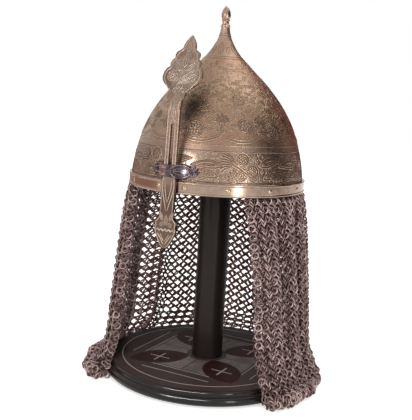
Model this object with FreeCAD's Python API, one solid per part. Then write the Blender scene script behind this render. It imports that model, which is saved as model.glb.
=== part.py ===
import FreeCAD, Part
import math
import os

from FreeCAD import Vector

# A spired helmet of brass on its turned display stand. The bowl carries a finial, a
# brow band, a sweatband, a curtain of mail and the bracket that a sliding nasal bar
# runs in. The helmet stands on a padded rest at the top of a column, so it lifts off.
# Millimetres, Z up, origin at the middle of the stand's underside. The front of the
# helmet faces -Y, and angles round the helmet are counted from the front towards +X.

os.makedirs("parts", exist_ok=True)

# Clearances shared by many pieces
SEAT_GAP = 0.2
SOFT_GAP = 0.3
SLIDE_GAP = 0.35
SHANK_FIT = 0.05
INLAY_GAP = 0.1
OVERRUN = 5.0

# One turn, in degrees
FULL_TURN = 360.0

# Heights that set the whole
RIM_Z = 232.6

# Bowl
BOWL_R = 104.0
BOWL_H = 188.0
BOWL_WALL = 1.4
# Radius and height of the bowl's outline from the rim to the spire, an arc through
# each point with an odd place in the row
BOWL_OUTLINE_shares = (
    (1.000, 0.000), (0.991, 0.069), (0.971, 0.144), (0.937, 0.239), (0.888, 0.332),
    (0.810, 0.428), (0.706, 0.524), (0.581, 0.612), (0.442, 0.694), (0.325, 0.755),
    (0.208, 0.820), (0.149, 0.858), (0.110, 0.895), (0.070, 0.944), (0.050, 1.000))

# Finial
FINIAL_H = 24.4
FINIAL_R = 5.6
# Radius and height of the collar and neck, then of the acorn in two arcs
FINIAL_STEM_shares = ((0.93, 0.00), (1.00, 0.03), (1.00, 0.07), (0.90, 0.10), (0.72, 0.17),
                      (0.68, 0.27), (0.86, 0.29), (0.90, 0.32), (0.86, 0.35), (0.74, 0.37))
FINIAL_ACORN_shares = ((0.74, 0.37), (0.94, 0.46), (1.00, 0.56), (0.74, 0.80), (0.12, 1.00))
FINIAL_PEG_L = 9.0
FINIAL_PEG_FIT = 0.05

# Brow band and its rivets
BAND_H = 14.0
BAND_PROUD = 1.5
BAND_FACE_R = BOWL_R + BAND_PROUD
BAND_BEAD_H = 2.8
BAND_BEAD_PROUD = 0.6
# How far a bead stands out and how far it is from the band's edge, along its section
BAND_BEAD_shares = ((0.0, 0.0), (0.8, 0.2), (1.0, 0.5), (0.8, 0.8), (0.0, 1.0))
BAND_GAP = 0.3
BAND_RIVET_COUNT = 14
BAND_RIVET_HEAD_R = 2.5
BAND_RIVET_HEAD_H = 0.9
BAND_RIVET_SHANK_R = 1.2

# Sweatband
SWEATBAND_H = 26.0
SWEATBAND_RISE = 2.5
SWEATBAND_THICK = 1.6

# Nasal bar: heights are from the rim, lengths of the terminal from the bend
NASAL_THICK = 3.0
NASAL_STAND_OFF = 5.1
NASAL_FRONT_Y = BOWL_R + NASAL_STAND_OFF
NASAL_LEAN = 3.2
NASAL_BEND = 18.8
NASAL_BEND_H = 88.0
NASAL_BEND_R = 40.0
NASAL_DROP = 61.0
BAR_HALF_W = 7.5
SHANK_HALF_W = 8.7
LEAF_HALF_W = 14.0
LEAF_TOP_DROP = 21.5
BARB_HALF_W = 16.0
SLOT_W = 4.5
SLOT_BOTTOM_H = 19.5
SLOT_TOP_H = 76.0
TERMINAL_L = 76.5
TERMINAL_HALF_W = 24.8
NECK_HALF_W = 9.4

# Bracket that holds the bar
BRACKET_H = 16.8
BRACKET_MID_H = 25.0
STAPLE_THICK = 1.6
PLATE_THICK = 1.4
FLANGE_REACH = 31.5
FLANGE_HALF_H = 8.0
FLANGE_HOLE_R = 1.0
# The arch over the bar: how far out along its half width, and how far down to the plate
ARCH_HALF_W = 20.0
ARCH_shares = ((0.16, 0.00), (0.34, 0.045), (0.52, 0.17), (0.78, 0.52), (1.00, 1.00))
BRACKET_RIVET_share = 0.62
BRACKET_RIVET_R = 2.2
BRACKET_RIVET_HEAD_H = 1.2
BRACKET_RIVET_SHANK_R = 1.0
CLAMP_HEAD_R = 3.0
CLAMP_HEAD_H = 1.6
CLAMP_SHANK_R = 1.7

# Stand
BASE_R = 127.4
BASE_H = 16.4
BASE_EDGE_W = 8.4
BASE_TOP_R = BASE_R - BASE_EDGE_W
FELT_INSET = 5.2
FELT_THICK = 1.5
COLUMN_R = 19.0
TENON_R = 11.0
TENON_L = 9.0
COLUMN_TOP_DROP = 74.0
REST_H = 34.0
REST_LIP_H = 3.0
PAD_THICK = 3.0
SCREW_R = 2.5
SCREW_HEAD_R = 5.5
SCREW_HEAD_H = 3.5
SCREW_L = 45.0

# Inlay of the base
INLAY_DEPTH = 1.2
PETAL_COUNT = 4
PETAL_ANGLE = 46.5
RING_INSET = 13.3
RING_R = BASE_TOP_R - RING_INSET
PETAL_COLUMN_GAP = 4.5
PETAL_START_R = COLUMN_R + PETAL_COLUMN_GAP
PETAL_RING_GAP = 7.7
PETAL_END_R = RING_R - PETAL_RING_GAP
PETAL_WIDTH_share = 0.281
PETAL_HALF_W = (PETAL_END_R - PETAL_START_R) * PETAL_WIDTH_share
LINE_W = 1.4
CHORD_INSET = 17.0
CHORD_PAIR_GAP = 14.0
CHORD_OUTER_R = PETAL_END_R - CHORD_INSET
CHORD_INNER_R = CHORD_OUTER_R - CHORD_PAIR_GAP
CHORD_HALF_L = 45.0
CHORD_GROWTH = 4.0
FIELD_SPREAD_share = 0.84
MARK_L = 27.0
MARK_W = 1.9

# Mail curtain: it hangs inside the rim and clears the base
MAIL_THICK = 3.6
MAIL_RIM_INSET = 1.6
MAIL_TOP_R = BOWL_R - MAIL_RIM_INSET
MAIL_BASE_GAP = 2.3
MAIL_HEM_R = BASE_R + MAIL_BASE_GAP + MAIL_THICK / 2
# Height as a share of the rim's, mid radius as a share of the way from the rim to the
# hem, then as shares of the bowl's radius the depth of the folds out and in and how far
# the hem heaps out in front, and last the angles of the two front edges
MAIL_SECTION_shares = (
    (1.000, 0.000, 0.000, 0.000, 0.000, 47.0, 47.0),
    (0.930, 0.055, 0.028, 0.020, 0.000, 49.5, 46.8),
    (0.800, 0.155, 0.040, 0.036, 0.000, 52.5, 46.5),
    (0.590, 0.312, 0.042, 0.040, 0.000, 55.5, 46.0),
    (0.400, 0.448, 0.042, 0.040, 0.000, 56.5, 45.5),
    (0.240, 0.555, 0.040, 0.036, 0.006, 57.0, 45.0),
    (0.145, 0.645, 0.038, 0.016, 0.022, 57.5, 43.5),
    (0.090, 0.845, 0.032, 0.010, 0.080, 57.5, 41.0),
    (0.050, 1.000, 0.026, 0.008, 0.150, 58.0, 38.0),
    (0.000, 1.040, 0.022, 0.010, 0.190, 58.5, 35.5))
# Where each fold begins, as a share of the way round from the right front edge to the
# left one, and its depth as a share of the section's: narrow folds beside the face, broad
# ones behind, and one sharp crease inside at the left
MAIL_FOLD_shares = (
    (0.000, 0.80), (0.030, 1.00), (0.060, 1.00), (0.092, 1.00), (0.122, 1.00), (0.152, 1.00),
    (0.184, 0.90), (0.214, 0.80), (0.250, 0.50), (0.335, 0.45), (0.430, 0.40), (0.530, 0.45),
    (0.625, 0.60), (0.705, 1.00), (0.740, 0.70), (0.795, 0.80), (0.835, 1.00), (0.872, 1.00),
    (0.905, 1.00), (0.937, 1.00), (0.968, 0.80))


def polar(radius, angle, z):
    """Point at an angle in degrees counted from the front, -Y, towards +X."""
    turn = math.radians(angle)
    return Vector(radius * math.sin(turn), -radius * math.cos(turn), z)


def arc(start, middle, end):
    return Part.Arc(start, middle, end).toShape()


def line(start, end):
    return Part.makeLine(start, end)


def face_of(edges):
    return Part.Face(Part.Wire(edges))


def polygon(points):
    """Face with straight sides through the points."""
    return Part.Face(Part.makePolygon(list(points) + [points[0]]))


def spun(edges):
    """Solid of revolution about the Z axis of a closed outline in the XZ plane."""
    return face_of(edges).revolve(Vector(0, 0, 0), Vector(0, 0, 1), FULL_TURN)


def spun_polygon(points):
    """Solid of revolution whose outline has straight sides, points as (r, z)."""
    face = polygon([Vector(r, 0, z) for r, z in points])
    return face.revolve(Vector(0, 0, 0), Vector(0, 0, 1), FULL_TURN)


def arc_chain(points):
    """Arcs through every second point of an outline in the XZ plane."""
    corners = [Vector(r, 0, z) for r, z in points]
    return [arc(*corners[i:i + 3]) for i in range(0, len(corners) - 2, 2)]


def moved_in(points, depth):
    """Outline moved towards the axis by a depth along its own normal."""
    moved = []
    last = len(points) - 1
    for i, (r, z) in enumerate(points):
        r0, z0 = points[max(i - 1, 0)]
        r1, z1 = points[min(i + 1, last)]
        length = math.hypot(r1 - r0, z1 - z0)
        moved.append((r - depth * (z1 - z0) / length, z + depth * (r1 - r0) / length))
    return moved


def mirrored(points):
    """Closed outline from the right half of a symmetrical one, both ends on x = 0."""
    return list(points) + [(-x, z) for x, z in reversed(points) if x > 0]


def front_plate(points, front, thick):
    """Plate in an XZ plane, its front face at y = -front, points as (x, z)."""
    face = polygon([Vector(x, -front, z) for x, z in points])
    return face.extrude(Vector(0, thick, 0))


def radial(shape, angle):
    """Copy of a shape made at the front, turned to an angle round the axis."""
    return shape.rotated(Vector(0, 0, 0), Vector(0, 0, 1), angle)


def bowl_points():
    return [(r * BOWL_R, RIM_Z + z * BOWL_H) for r, z in BOWL_OUTLINE_shares]


def bowl_radius_at(height):
    """Outside radius of the bowl at a height above the rim."""
    level = RIM_Z + height
    for edge in arc_chain(bowl_points()):
        start, end = edge.Vertexes[0].Point, edge.Vertexes[-1].Point
        if min(start.z, end.z) <= level <= max(start.z, end.z):
            circle = edge.Curve
            side = 1 if circle.Center.x < min(start.x, end.x) else -1
            across = math.sqrt(circle.Radius ** 2 - (level - circle.Center.z) ** 2)
            return circle.Center.x + side * across
    return BOWL_R


def band_rivet_angles():
    """Angles of the brow band's rivets, which straddle the nasal bar and the back."""
    step = FULL_TURN / (BAND_RIVET_COUNT - 2 / 3)
    return [side * step * (i + 1 / 3) for side in (-1, 1) for i in range(BAND_RIVET_COUNT // 2)]


def band_rivet_bores():
    """Holes for the brow band's rivets through the band and the bowl."""
    radius = BAND_RIVET_SHANK_R + SHANK_FIT
    start = Vector(0, -BAND_FACE_R - OVERRUN, RIM_Z + BAND_H / 2)
    bore = Part.makeCylinder(radius, OVERRUN * 3, start, Vector(0, 1, 0))
    return Part.makeCompound([radial(bore, angle) for angle in band_rivet_angles()])


def bracket_seat_r(height, gap):
    """Radius, at a height above the rim, of the cone that the bracket sits on."""
    low = bowl_radius_at(BRACKET_MID_H - BRACKET_H)
    high = bowl_radius_at(BRACKET_MID_H + BRACKET_H)
    slope = (high - low) / (2 * BRACKET_H)
    return bowl_radius_at(BRACKET_MID_H) + gap + slope * (height - BRACKET_MID_H)


def bracket_seat(gap):
    """Cone that the bracket sits on, clear of the bowl by a gap behind its middle."""
    low = BRACKET_MID_H - BRACKET_H
    high = BRACKET_MID_H + BRACKET_H
    return spun_polygon([(0, RIM_Z + low), (bracket_seat_r(low, gap), RIM_Z + low),
                         (bracket_seat_r(high, gap), RIM_Z + high), (0, RIM_Z + high)])


def leaf_at(share):
    """Distance from the middle, across the bracket, of a share of its leaf's length."""
    root = BAR_HALF_W + SLIDE_GAP
    return root + share * (FLANGE_REACH - root)


def bracket_rivet_turns():
    """Angles of the two rivets, one in the neck of each of the bracket's leaves."""
    turn = math.degrees(math.asin(leaf_at(BRACKET_RIVET_share) / BOWL_R))
    return [-turn, turn]


def bracket_rivet_bores():
    reach = bowl_radius_at(BRACKET_MID_H) + OVERRUN
    start = Vector(0, -reach, RIM_Z + BRACKET_MID_H)
    radius = BRACKET_RIVET_SHANK_R + SHANK_FIT
    bore = Part.makeCylinder(radius, OVERRUN * 2, start, Vector(0, 1, 0))
    return Part.makeCompound([radial(bore, turn) for turn in bracket_rivet_turns()])


def leaned(shape):
    """Shape tipped back with the nasal bar, about the middle of the bracket."""
    pivot = Vector(0, -NASAL_FRONT_Y, RIM_Z + BRACKET_MID_H)
    return shape.rotated(pivot, Vector(1, 0, 0), -NASAL_LEAN)


def make_bowl():
    """Thin raised bowl, open at the rim and drilled for the finial's peg."""
    outside = bowl_points()
    inside = moved_in(outside, BOWL_WALL)
    inside[0] = (outside[0][0] - BOWL_WALL, outside[0][1])
    inside[-1] = (outside[-1][0] - BOWL_WALL, outside[-1][1])
    rim = line(Vector(inside[0][0], 0, RIM_Z), Vector(outside[0][0], 0, RIM_Z))
    top_z = outside[-1][1]
    top = line(Vector(inside[-1][0], 0, top_z), Vector(outside[-1][0], 0, top_z))
    corners = [Vector(r, 0, z) for r, z in inside]
    lining = [line(a, b) for a, b in zip(corners, corners[1:])]
    shell = spun([rim] + arc_chain(outside) + [top] + lining)
    return shell.cut(band_rivet_bores()).cut(bracket_rivet_bores())


def make_finial():
    """Acorn on a collar, with a peg that stands in the top of the spire."""
    base_z = RIM_Z + BOWL_H
    top_r = BOWL_OUTLINE_shares[-1][0] * BOWL_R
    peg_r = top_r - BOWL_WALL - FINIAL_PEG_FIT
    turned = [(0, base_z - FINIAL_PEG_L), (peg_r, base_z - FINIAL_PEG_L), (peg_r, base_z)]
    turned += [(r * FINIAL_R, base_z + z * FINIAL_H) for r, z in FINIAL_STEM_shares]
    corners = [Vector(r, 0, z) for r, z in turned]
    edges = [line(a, b) for a, b in zip(corners, corners[1:])]
    acorn = [(r * FINIAL_R, base_z + z * FINIAL_H) for r, z in FINIAL_ACORN_shares]
    tip = Vector(0, 0, acorn[-1][1])
    edges += arc_chain(acorn)
    edges.append(line(Vector(acorn[-1][0], 0, acorn[-1][1]), tip))
    edges.append(line(tip, corners[0]))
    return spun(edges)


def make_brow_band():
    """Band round the rim with a rolled bead along both edges."""
    low = RIM_Z
    high = RIM_Z + BAND_H
    bead = [(BAND_FACE_R + out * BAND_BEAD_PROUD, up * BAND_BEAD_H)
            for out, up in BAND_BEAD_shares]
    points = [(BOWL_R + BAND_GAP, low)]
    points += [(r, low + z) for r, z in bead]
    points += [(r, high - z) for r, z in reversed(bead)]
    points.append((bowl_radius_at(BAND_H) + BAND_GAP, high))
    return spun_polygon(points).cut(band_rivet_bores())


def dome_rivet(head_r, head_h, shank_r, shank_l, seat_y, z):
    """Rivet pointing inwards at the front: a domed head and its shank."""
    ball_r = (head_r ** 2 + head_h ** 2) / (2 * head_h)
    half_turn = math.asin(head_r / ball_r) / 2
    rim = Vector(head_r, 0, 0)
    crown = Vector(0, 0, head_h)
    bulge = Vector(ball_r * math.sin(half_turn), 0, head_h - ball_r * (1 - math.cos(half_turn)))
    outline = [line(Vector(0, 0, -shank_l), Vector(shank_r, 0, -shank_l)),
               line(Vector(shank_r, 0, -shank_l), Vector(shank_r, 0, 0)),
               line(Vector(shank_r, 0, 0), rim), arc(rim, bulge, crown),
               line(crown, Vector(0, 0, -shank_l))]
    rivet = spun(outline)
    rivet.rotate(Vector(0, 0, 0), Vector(1, 0, 0), 90)
    rivet.translate(Vector(0, -seat_y, z))
    return rivet


def make_band_rivets():
    """Rivets through the brow band and the bowl, their tails flush with the inside."""
    inside_r = bowl_radius_at(BAND_H / 2) - BOWL_WALL
    shank_l = BAND_FACE_R - inside_r
    rivet = dome_rivet(BAND_RIVET_HEAD_R, BAND_RIVET_HEAD_H, BAND_RIVET_SHANK_R,
                       shank_l, BAND_FACE_R + SHANK_FIT, RIM_Z + BAND_H / 2)
    return Part.makeCompound([radial(rivet, angle) for angle in band_rivet_angles()])


def make_sweatband():
    """Leather strip along the inside of the rim."""
    low = SWEATBAND_RISE
    high = SWEATBAND_RISE + SWEATBAND_H
    reach = BOWL_WALL + SOFT_GAP
    outer_low = bowl_radius_at(low) - reach
    outer_high = bowl_radius_at(high) - reach
    return spun_polygon([(outer_low, RIM_Z + low), (outer_high, RIM_Z + high),
                         (outer_high - SWEATBAND_THICK, RIM_Z + high),
                         (outer_low - SWEATBAND_THICK, RIM_Z + low)])


def nasal_lower_points():
    """Right half of the bar's outline from the tip of the leaf up to the bend."""
    leaf_l = NASAL_DROP - LEAF_TOP_DROP
    shoulder_h = BRACKET_MID_H - BRACKET_H / 2 - SLIDE_GAP
    outline_shares = ((0.00, 0.00, 0.0), (0.36, 0.07, 0.0), (0.62, 0.22, 0.0), (0.93, 0.44, 0.0),
                      (1.00, 0.55, 0.0), (0.90, 0.63, 0.0), (0.98, 0.74, 1.0), (0.72, 0.83, 0.0),
                      (0.55, 0.93, 0.0))
    points = []
    for across, along, barb in outline_shares:
        half = LEAF_HALF_W + barb * (BARB_HALF_W - LEAF_HALF_W)
        points.append((across * half, RIM_Z - NASAL_DROP + along * leaf_l))
    points.append((SHANK_HALF_W, RIM_Z - LEAF_TOP_DROP))
    points.append((SHANK_HALF_W, RIM_Z + shoulder_h))
    points.append((BAR_HALF_W, RIM_Z + shoulder_h))
    points.append((BAR_HALF_W, RIM_Z + NASAL_BEND_H))
    points.append((0, RIM_Z + NASAL_BEND_H))
    return points


def terminal_points():
    """Right half of the terminal's outline from the bend up to the point."""
    start = RIM_Z + NASAL_BEND_H
    bulb_shares = ((0.50, 0.172), (0.78, 0.228), (0.94, 0.284), (1.00, 0.344), (0.98, 0.415),
                   (0.88, 0.479), (0.74, 0.505), (0.77, 0.560), (0.71, 0.603), (0.59, 0.640),
                   (0.62, 0.690), (0.57, 0.735), (0.42, 0.767), (0.32, 0.790), (0.30, 0.835),
                   (0.24, 0.889), (0.14, 0.943), (0.00, 1.000))
    points = [(0, start), (BAR_HALF_W, start), (NECK_HALF_W, start + TERMINAL_L * 0.05),
              (NECK_HALF_W, start + TERMINAL_L * 0.14)]
    points += [(x * TERMINAL_HALF_W, start + s * TERMINAL_L) for x, s in bulb_shares]
    return points


def make_nasal_bar():
    """Flat bar with a leaf below, a long slot, and a leafy terminal bent back above."""
    lower = front_plate(mirrored(nasal_lower_points()), NASAL_FRONT_Y, NASAL_THICK)
    slot_h = SLOT_TOP_H - SLOT_BOTTOM_H - SLOT_W
    slot = Part.makeBox(SLOT_W, NASAL_THICK + 2 * OVERRUN, slot_h,
                        Vector(-SLOT_W / 2, -NASAL_FRONT_Y - OVERRUN,
                               RIM_Z + SLOT_BOTTOM_H + SLOT_W / 2))
    for height in (SLOT_BOTTOM_H + SLOT_W / 2, SLOT_TOP_H - SLOT_W / 2):
        start = Vector(0, -NASAL_FRONT_Y - OVERRUN, RIM_Z + height)
        slot = slot.fuse(Part.makeCylinder(SLOT_W / 2, NASAL_THICK + 2 * OVERRUN, start,
                                           Vector(0, 1, 0)))
    lower = lower.cut(slot)
    back = NASAL_FRONT_Y - NASAL_THICK
    axis_at = Vector(0, -back + NASAL_BEND_R, RIM_Z + NASAL_BEND_H)
    section = polygon([Vector(-BAR_HALF_W, -NASAL_FRONT_Y, axis_at.z),
                       Vector(BAR_HALF_W, -NASAL_FRONT_Y, axis_at.z),
                       Vector(BAR_HALF_W, -back, axis_at.z),
                       Vector(-BAR_HALF_W, -back, axis_at.z)])
    bend = section.revolve(axis_at, Vector(-1, 0, 0), NASAL_BEND)
    terminal = front_plate(mirrored(terminal_points()), NASAL_FRONT_Y, NASAL_THICK)
    terminal.rotate(axis_at, Vector(-1, 0, 0), NASAL_BEND)
    return leaned(lower.fuse([bend, terminal]).removeSplitter())


def flange_half():
    """Right-hand leaf of the bracket, from the staple's cheek to its tip, as (x, z)."""
    leaf_shares = ((0.00, 0.86), (0.10, 1.00), (0.34, 0.98), (0.52, 0.72), (0.60, 0.46),
                   (0.66, 0.78), (0.76, 0.86), (0.80, 0.46), (0.90, 0.50), (0.92, 0.22),
                   (1.00, 0.00))
    middle = RIM_Z + BRACKET_MID_H
    upper = [(leaf_at(x), middle + z * FLANGE_HALF_H) for x, z in leaf_shares]
    lower = [(x, 2 * middle - z) for x, z in reversed(upper[:-1])]
    return upper + lower


def bracket_arch(front):
    """Domed block over the bar that runs down to the plate at each side."""
    plate_r = bracket_seat_r(BRACKET_MID_H, SEAT_GAP + PLATE_THICK)
    end_y = math.sqrt(plate_r ** 2 - ARCH_HALF_W ** 2)
    low = RIM_Z + BRACKET_MID_H - BRACKET_H / 2
    right = [Vector(x * ARCH_HALF_W, y * (front - end_y) - front, low) for x, y in ARCH_shares]
    left = [Vector(-point.x, point.y, low) for point in right]
    back_right = Vector(ARCH_HALF_W, -end_y + OVERRUN, low)
    back_left = Vector(-ARCH_HALF_W, -end_y + OVERRUN, low)
    edges = [line(left[0], right[0]), arc(*right[:3]), arc(*right[2:]),
             line(right[-1], back_right), line(back_right, back_left),
             line(back_left, left[-1]), arc(*reversed(left[2:])), arc(*reversed(left[:3]))]
    return face_of(edges).extrude(Vector(0, 0, BRACKET_H))


def make_nasal_bracket():
    """Arch round the bar on a plate that spreads into a pierced leaf at each side."""
    middle = RIM_Z + BRACKET_MID_H
    half = FLANGE_HALF_H
    leaf = flange_half()
    outline = leaf + [(-x, z) for x, z in reversed(leaf)]
    front = NASAL_FRONT_Y + SLIDE_GAP + STAPLE_THICK
    blank = front_plate(outline, front + OVERRUN, BOWL_R / 3)
    plate = blank.common(bracket_seat(SEAT_GAP + PLATE_THICK))
    inner = BAR_HALF_W + SLIDE_GAP
    channel_front = NASAL_FRONT_Y + SLIDE_GAP
    channel_back = bowl_radius_at(BRACKET_MID_H + half) + PLATE_THICK
    channel = Part.makeBox(2 * inner, channel_front - channel_back + OVERRUN, 3 * BRACKET_H,
                           Vector(-inner, -channel_front, middle - 1.5 * BRACKET_H))
    staple = leaned(bracket_arch(front)).common(blank).cut(leaned(channel))
    bracket = plate.fuse(staple).cut(bracket_seat(SEAT_GAP))
    holes = [bracket_rivet_bores(), clamp_bore()]
    for side in (-1, 1):
        for across, up in ((0.72, 0.42), (0.72, -0.42), (0.86, 0)):
            start = Vector(side * leaf_at(across), -front, middle + up * half)
            holes.append(Part.makeCylinder(FLANGE_HOLE_R, front, start, Vector(0, 1, 0)))
    return bracket.cut(Part.makeCompound(holes)).removeSplitter()


def clamp_bore():
    """Hole for the clamp screw through the staple and the plate behind the bar."""
    start = Vector(0, -NASAL_FRONT_Y - OVERRUN, RIM_Z + BRACKET_MID_H)
    length = NASAL_FRONT_Y + OVERRUN - bowl_radius_at(BRACKET_MID_H) + SEAT_GAP
    return leaned(Part.makeCylinder(CLAMP_SHANK_R + SHANK_FIT, length, start, Vector(0, 1, 0)))


def make_bracket_rivets():
    """Domed rivets that hold the bracket's leaves on the bowl."""
    surface = bowl_radius_at(BRACKET_MID_H)
    low = BRACKET_MID_H - BRACKET_RIVET_R
    seat = bracket_seat_r(low, SEAT_GAP + PLATE_THICK) + SHANK_FIT
    rivet = dome_rivet(BRACKET_RIVET_R, BRACKET_RIVET_HEAD_H, BRACKET_RIVET_SHANK_R,
                       seat - surface + BOWL_WALL, seat, RIM_Z + BRACKET_MID_H)
    return Part.makeCompound([radial(rivet, turn) for turn in bracket_rivet_turns()])


def make_clamp_screw():
    """Domed screw through the staple and the bar's slot that locks the bar's height."""
    front = NASAL_FRONT_Y + SLIDE_GAP + STAPLE_THICK + SHANK_FIT
    tail = bowl_radius_at(BRACKET_MID_H) + SEAT_GAP * 2
    screw = dome_rivet(CLAMP_HEAD_R, CLAMP_HEAD_H, CLAMP_SHANK_R, front - tail, front,
                       RIM_Z + BRACKET_MID_H)
    return leaned(screw)


def mail_folds(out, inward, right_edge, left_edge):
    """Begin, end and swell of each fold round the curtain, as angles and a depth."""
    reach = FULL_TURN - left_edge - right_edge
    starts = [right_edge + share * reach for share, depth in MAIL_FOLD_shares]
    ends = starts[1:] + [FULL_TURN - left_edge]
    folds = []
    for i, (share, depth) in enumerate(MAIL_FOLD_shares):
        swell = depth * out if i % 2 else -depth * inward
        folds.append((starts[i], ends[i], swell))
    return folds


def mail_section(height, mid_r, heap, folds):
    """Closed outline of the curtain at one height: folds outside, folds inside."""
    half = MAIL_THICK / 2

    def point(outer, swell, angle):
        front = (1 + math.cos(math.radians(angle))) / 2
        side = half + heap * front if outer else -half
        return polar(mid_r + side + swell, angle, height)

    outside = [arc(point(True, 0, begin), point(True, swell, (begin + end) / 2),
                   point(True, 0, end)) for begin, end, swell in folds]
    inside = [arc(point(False, 0, end), point(False, swell, (begin + end) / 2),
                  point(False, 0, begin)) for begin, end, swell in reversed(folds)]
    first, last = folds[0][0], folds[-1][1]
    left = line(point(True, 0, last), point(False, 0, last))
    right = line(point(False, 0, first), point(True, 0, first))
    return Part.Wire(outside + [left] + inside + [right])


def make_mail_curtain():
    """Curtain of mail as one folded sheet, open at the face and heaped at the floor."""
    top = RIM_Z - SOFT_GAP
    drop = top - SOFT_GAP
    sections = []
    for up, way, out, inward, heap, right_edge, left_edge in MAIL_SECTION_shares:
        mid_r = MAIL_TOP_R + way * (MAIL_HEM_R - MAIL_TOP_R)
        folds = mail_folds(out * BOWL_R, inward * BOWL_R, right_edge, left_edge)
        sections.append(mail_section(SOFT_GAP + up * drop, mid_r, heap * BOWL_R, folds))
    return Part.makeLoft(sections, True, True)


def base_top_z():
    return FELT_THICK + BASE_H


def base_foot_r():
    return (BASE_R + BASE_TOP_R) / 2


def base_outline():
    """Half outline of the turned base: a wide roll below a narrower moulded top."""
    low = FELT_THICK
    top = base_top_z()
    step_r = BASE_R - (BASE_R - BASE_TOP_R) * 0.62
    step_z = low + BASE_H * 0.66
    foot = Vector(base_foot_r(), 0, low)
    roll_top = Vector(step_r, 0, step_z)
    cove = Vector(step_r, 0, step_z + BASE_H * 0.08)
    edge = Vector(BASE_TOP_R, 0, top)
    return [line(Vector(0, 0, low), foot),
            arc(foot, Vector(BASE_R, 0, low + BASE_H * 0.30), roll_top),
            line(roll_top, cove),
            arc(cove, Vector(step_r - (step_r - BASE_TOP_R) * 0.25, 0, top - BASE_H * 0.08), edge),
            line(edge, Vector(0, 0, top)), line(Vector(0, 0, top), Vector(0, 0, low))]


def flat_prism(edges, top, depth):
    """Solid below a flat outline of edges that lies at the height of its top."""
    return face_of(edges).extrude(Vector(0, 0, -depth))


def petal(grow, top, depth):
    """Pointed petal in front of the middle, wider by grow on each side."""
    half = PETAL_HALF_W + grow
    start = polar(PETAL_START_R - grow, 0, top)
    end = polar(PETAL_END_R + grow, 0, top)
    middle = (PETAL_START_R + PETAL_END_R) / 2
    right = Vector(half, -middle, top)
    left = Vector(-half, -middle, top)
    return flat_prism([arc(start, right, end), arc(end, left, start)], top, depth)


def petal_angles():
    return [PETAL_ANGLE + i * FULL_TURN / PETAL_COUNT for i in range(PETAL_COUNT)]


def cross_mark(grow, top, depth):
    """Two thin bars that cross at a right angle in the middle of a petal."""
    half_w = MARK_W / 2 + grow
    half_l = MARK_L / 2 + grow
    middle = (PETAL_START_R + PETAL_END_R) / 2
    bars = []
    for side in (-1, 1):
        bar = Part.makeBox(2 * half_w, 2 * half_l, depth, Vector(-half_w, -half_l, top - depth))
        bar = radial(bar, side * FULL_TURN / 8)
        bar.translate(Vector(0, -middle, 0))
        bars.append(bar)
    return bars[0].fuse(bars[1]).removeSplitter()


def corner_field(grow, top, depth):
    """Field between two petals: concave sides, a straight chord, a radial joint."""
    half_turn = FULL_TURN / PETAL_COUNT / 2
    spread = half_turn * FIELD_SPREAD_share
    corner = (CHORD_INNER_R - LINE_W * 2 + grow) / math.cos(math.radians(spread))
    centre = Vector(0, 0, top)
    wedge = polygon([centre, polar(corner, spread, top), polar(corner, -spread, top)])
    field = wedge.extrude(Vector(0, 0, -depth))
    for side in (-1, 1):
        lobe = petal(LINE_W - grow, top + OVERRUN, depth + 2 * OVERRUN)
        field = field.cut(radial(lobe, side * half_turn))
    hub = Part.makeCylinder(PETAL_START_R + LINE_W - grow, depth + 2 * OVERRUN,
                            Vector(0, 0, top - depth - OVERRUN))
    joint_w = LINE_W - 2 * grow
    joint = Part.makeBox(joint_w, BASE_R, depth + 2 * OVERRUN,
                         Vector(-joint_w / 2, -BASE_R, top - depth - OVERRUN))
    return field.cut(hub.fuse(joint))


def line_work(grow, top, depth):
    """Thin ring and the pairs of straight lines inside it, cut off at the petals."""
    half = LINE_W / 2 + grow
    low = top - depth
    ring = Part.makeCylinder(RING_R + half, depth, Vector(0, 0, low))
    ring = ring.cut(Part.makeCylinder(RING_R - half, depth, Vector(0, 0, low)))
    pieces = [ring]
    lobe = petal(LINE_W - grow, top + OVERRUN, depth + 2 * OVERRUN)
    lobes = [radial(lobe, angle) for angle in petal_angles()]
    for i in range(PETAL_COUNT):
        angle = PETAL_ANGLE + (i + 0.5) * FULL_TURN / PETAL_COUNT
        for out, length in ((CHORD_OUTER_R, CHORD_HALF_L),
                            (CHORD_INNER_R, CHORD_HALF_L + CHORD_GROWTH)):
            bar = Part.makeBox(2 * (length + grow), 2 * half, depth,
                               Vector(-length - grow, -out - half, low))
            pieces.append(radial(bar, angle).cut(lobes))
    return pieces


def around(shape, offset=0):
    """The shape at each petal's angle, or between the petals."""
    return [radial(shape, angle + offset) for angle in petal_angles()]


def inlay_pieces(grow, depth):
    """All inlays as three groups, grown by a gap when they cut their own pockets."""
    top = base_top_z()
    petals = around(petal(grow, top, depth))
    fields = around(corner_field(grow, top, depth), FULL_TURN / PETAL_COUNT / 2)
    return petals, fields, line_work(grow, top, depth)


def make_stand_base():
    """Turned base with pockets for the inlay, a mortise and a hole for the screw."""
    base = spun(base_outline())
    petals, fields, lines = inlay_pieces(INLAY_GAP, INLAY_DEPTH)
    top = base_top_z()
    mortise = Part.makeCylinder(TENON_R + INLAY_GAP, TENON_L + OVERRUN, Vector(0, 0, top - TENON_L))
    shank = Part.makeCylinder(SCREW_R + SHANK_FIT, BASE_H + 2 * OVERRUN, Vector(0, 0, -OVERRUN))
    head = Part.makeCylinder(SCREW_HEAD_R + INLAY_GAP, SCREW_HEAD_H + INLAY_GAP + OVERRUN,
                             Vector(0, 0, FELT_THICK - OVERRUN))
    return base.cut(Part.makeCompound(petals + fields + lines)).cut([mortise, shank, head])


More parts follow.
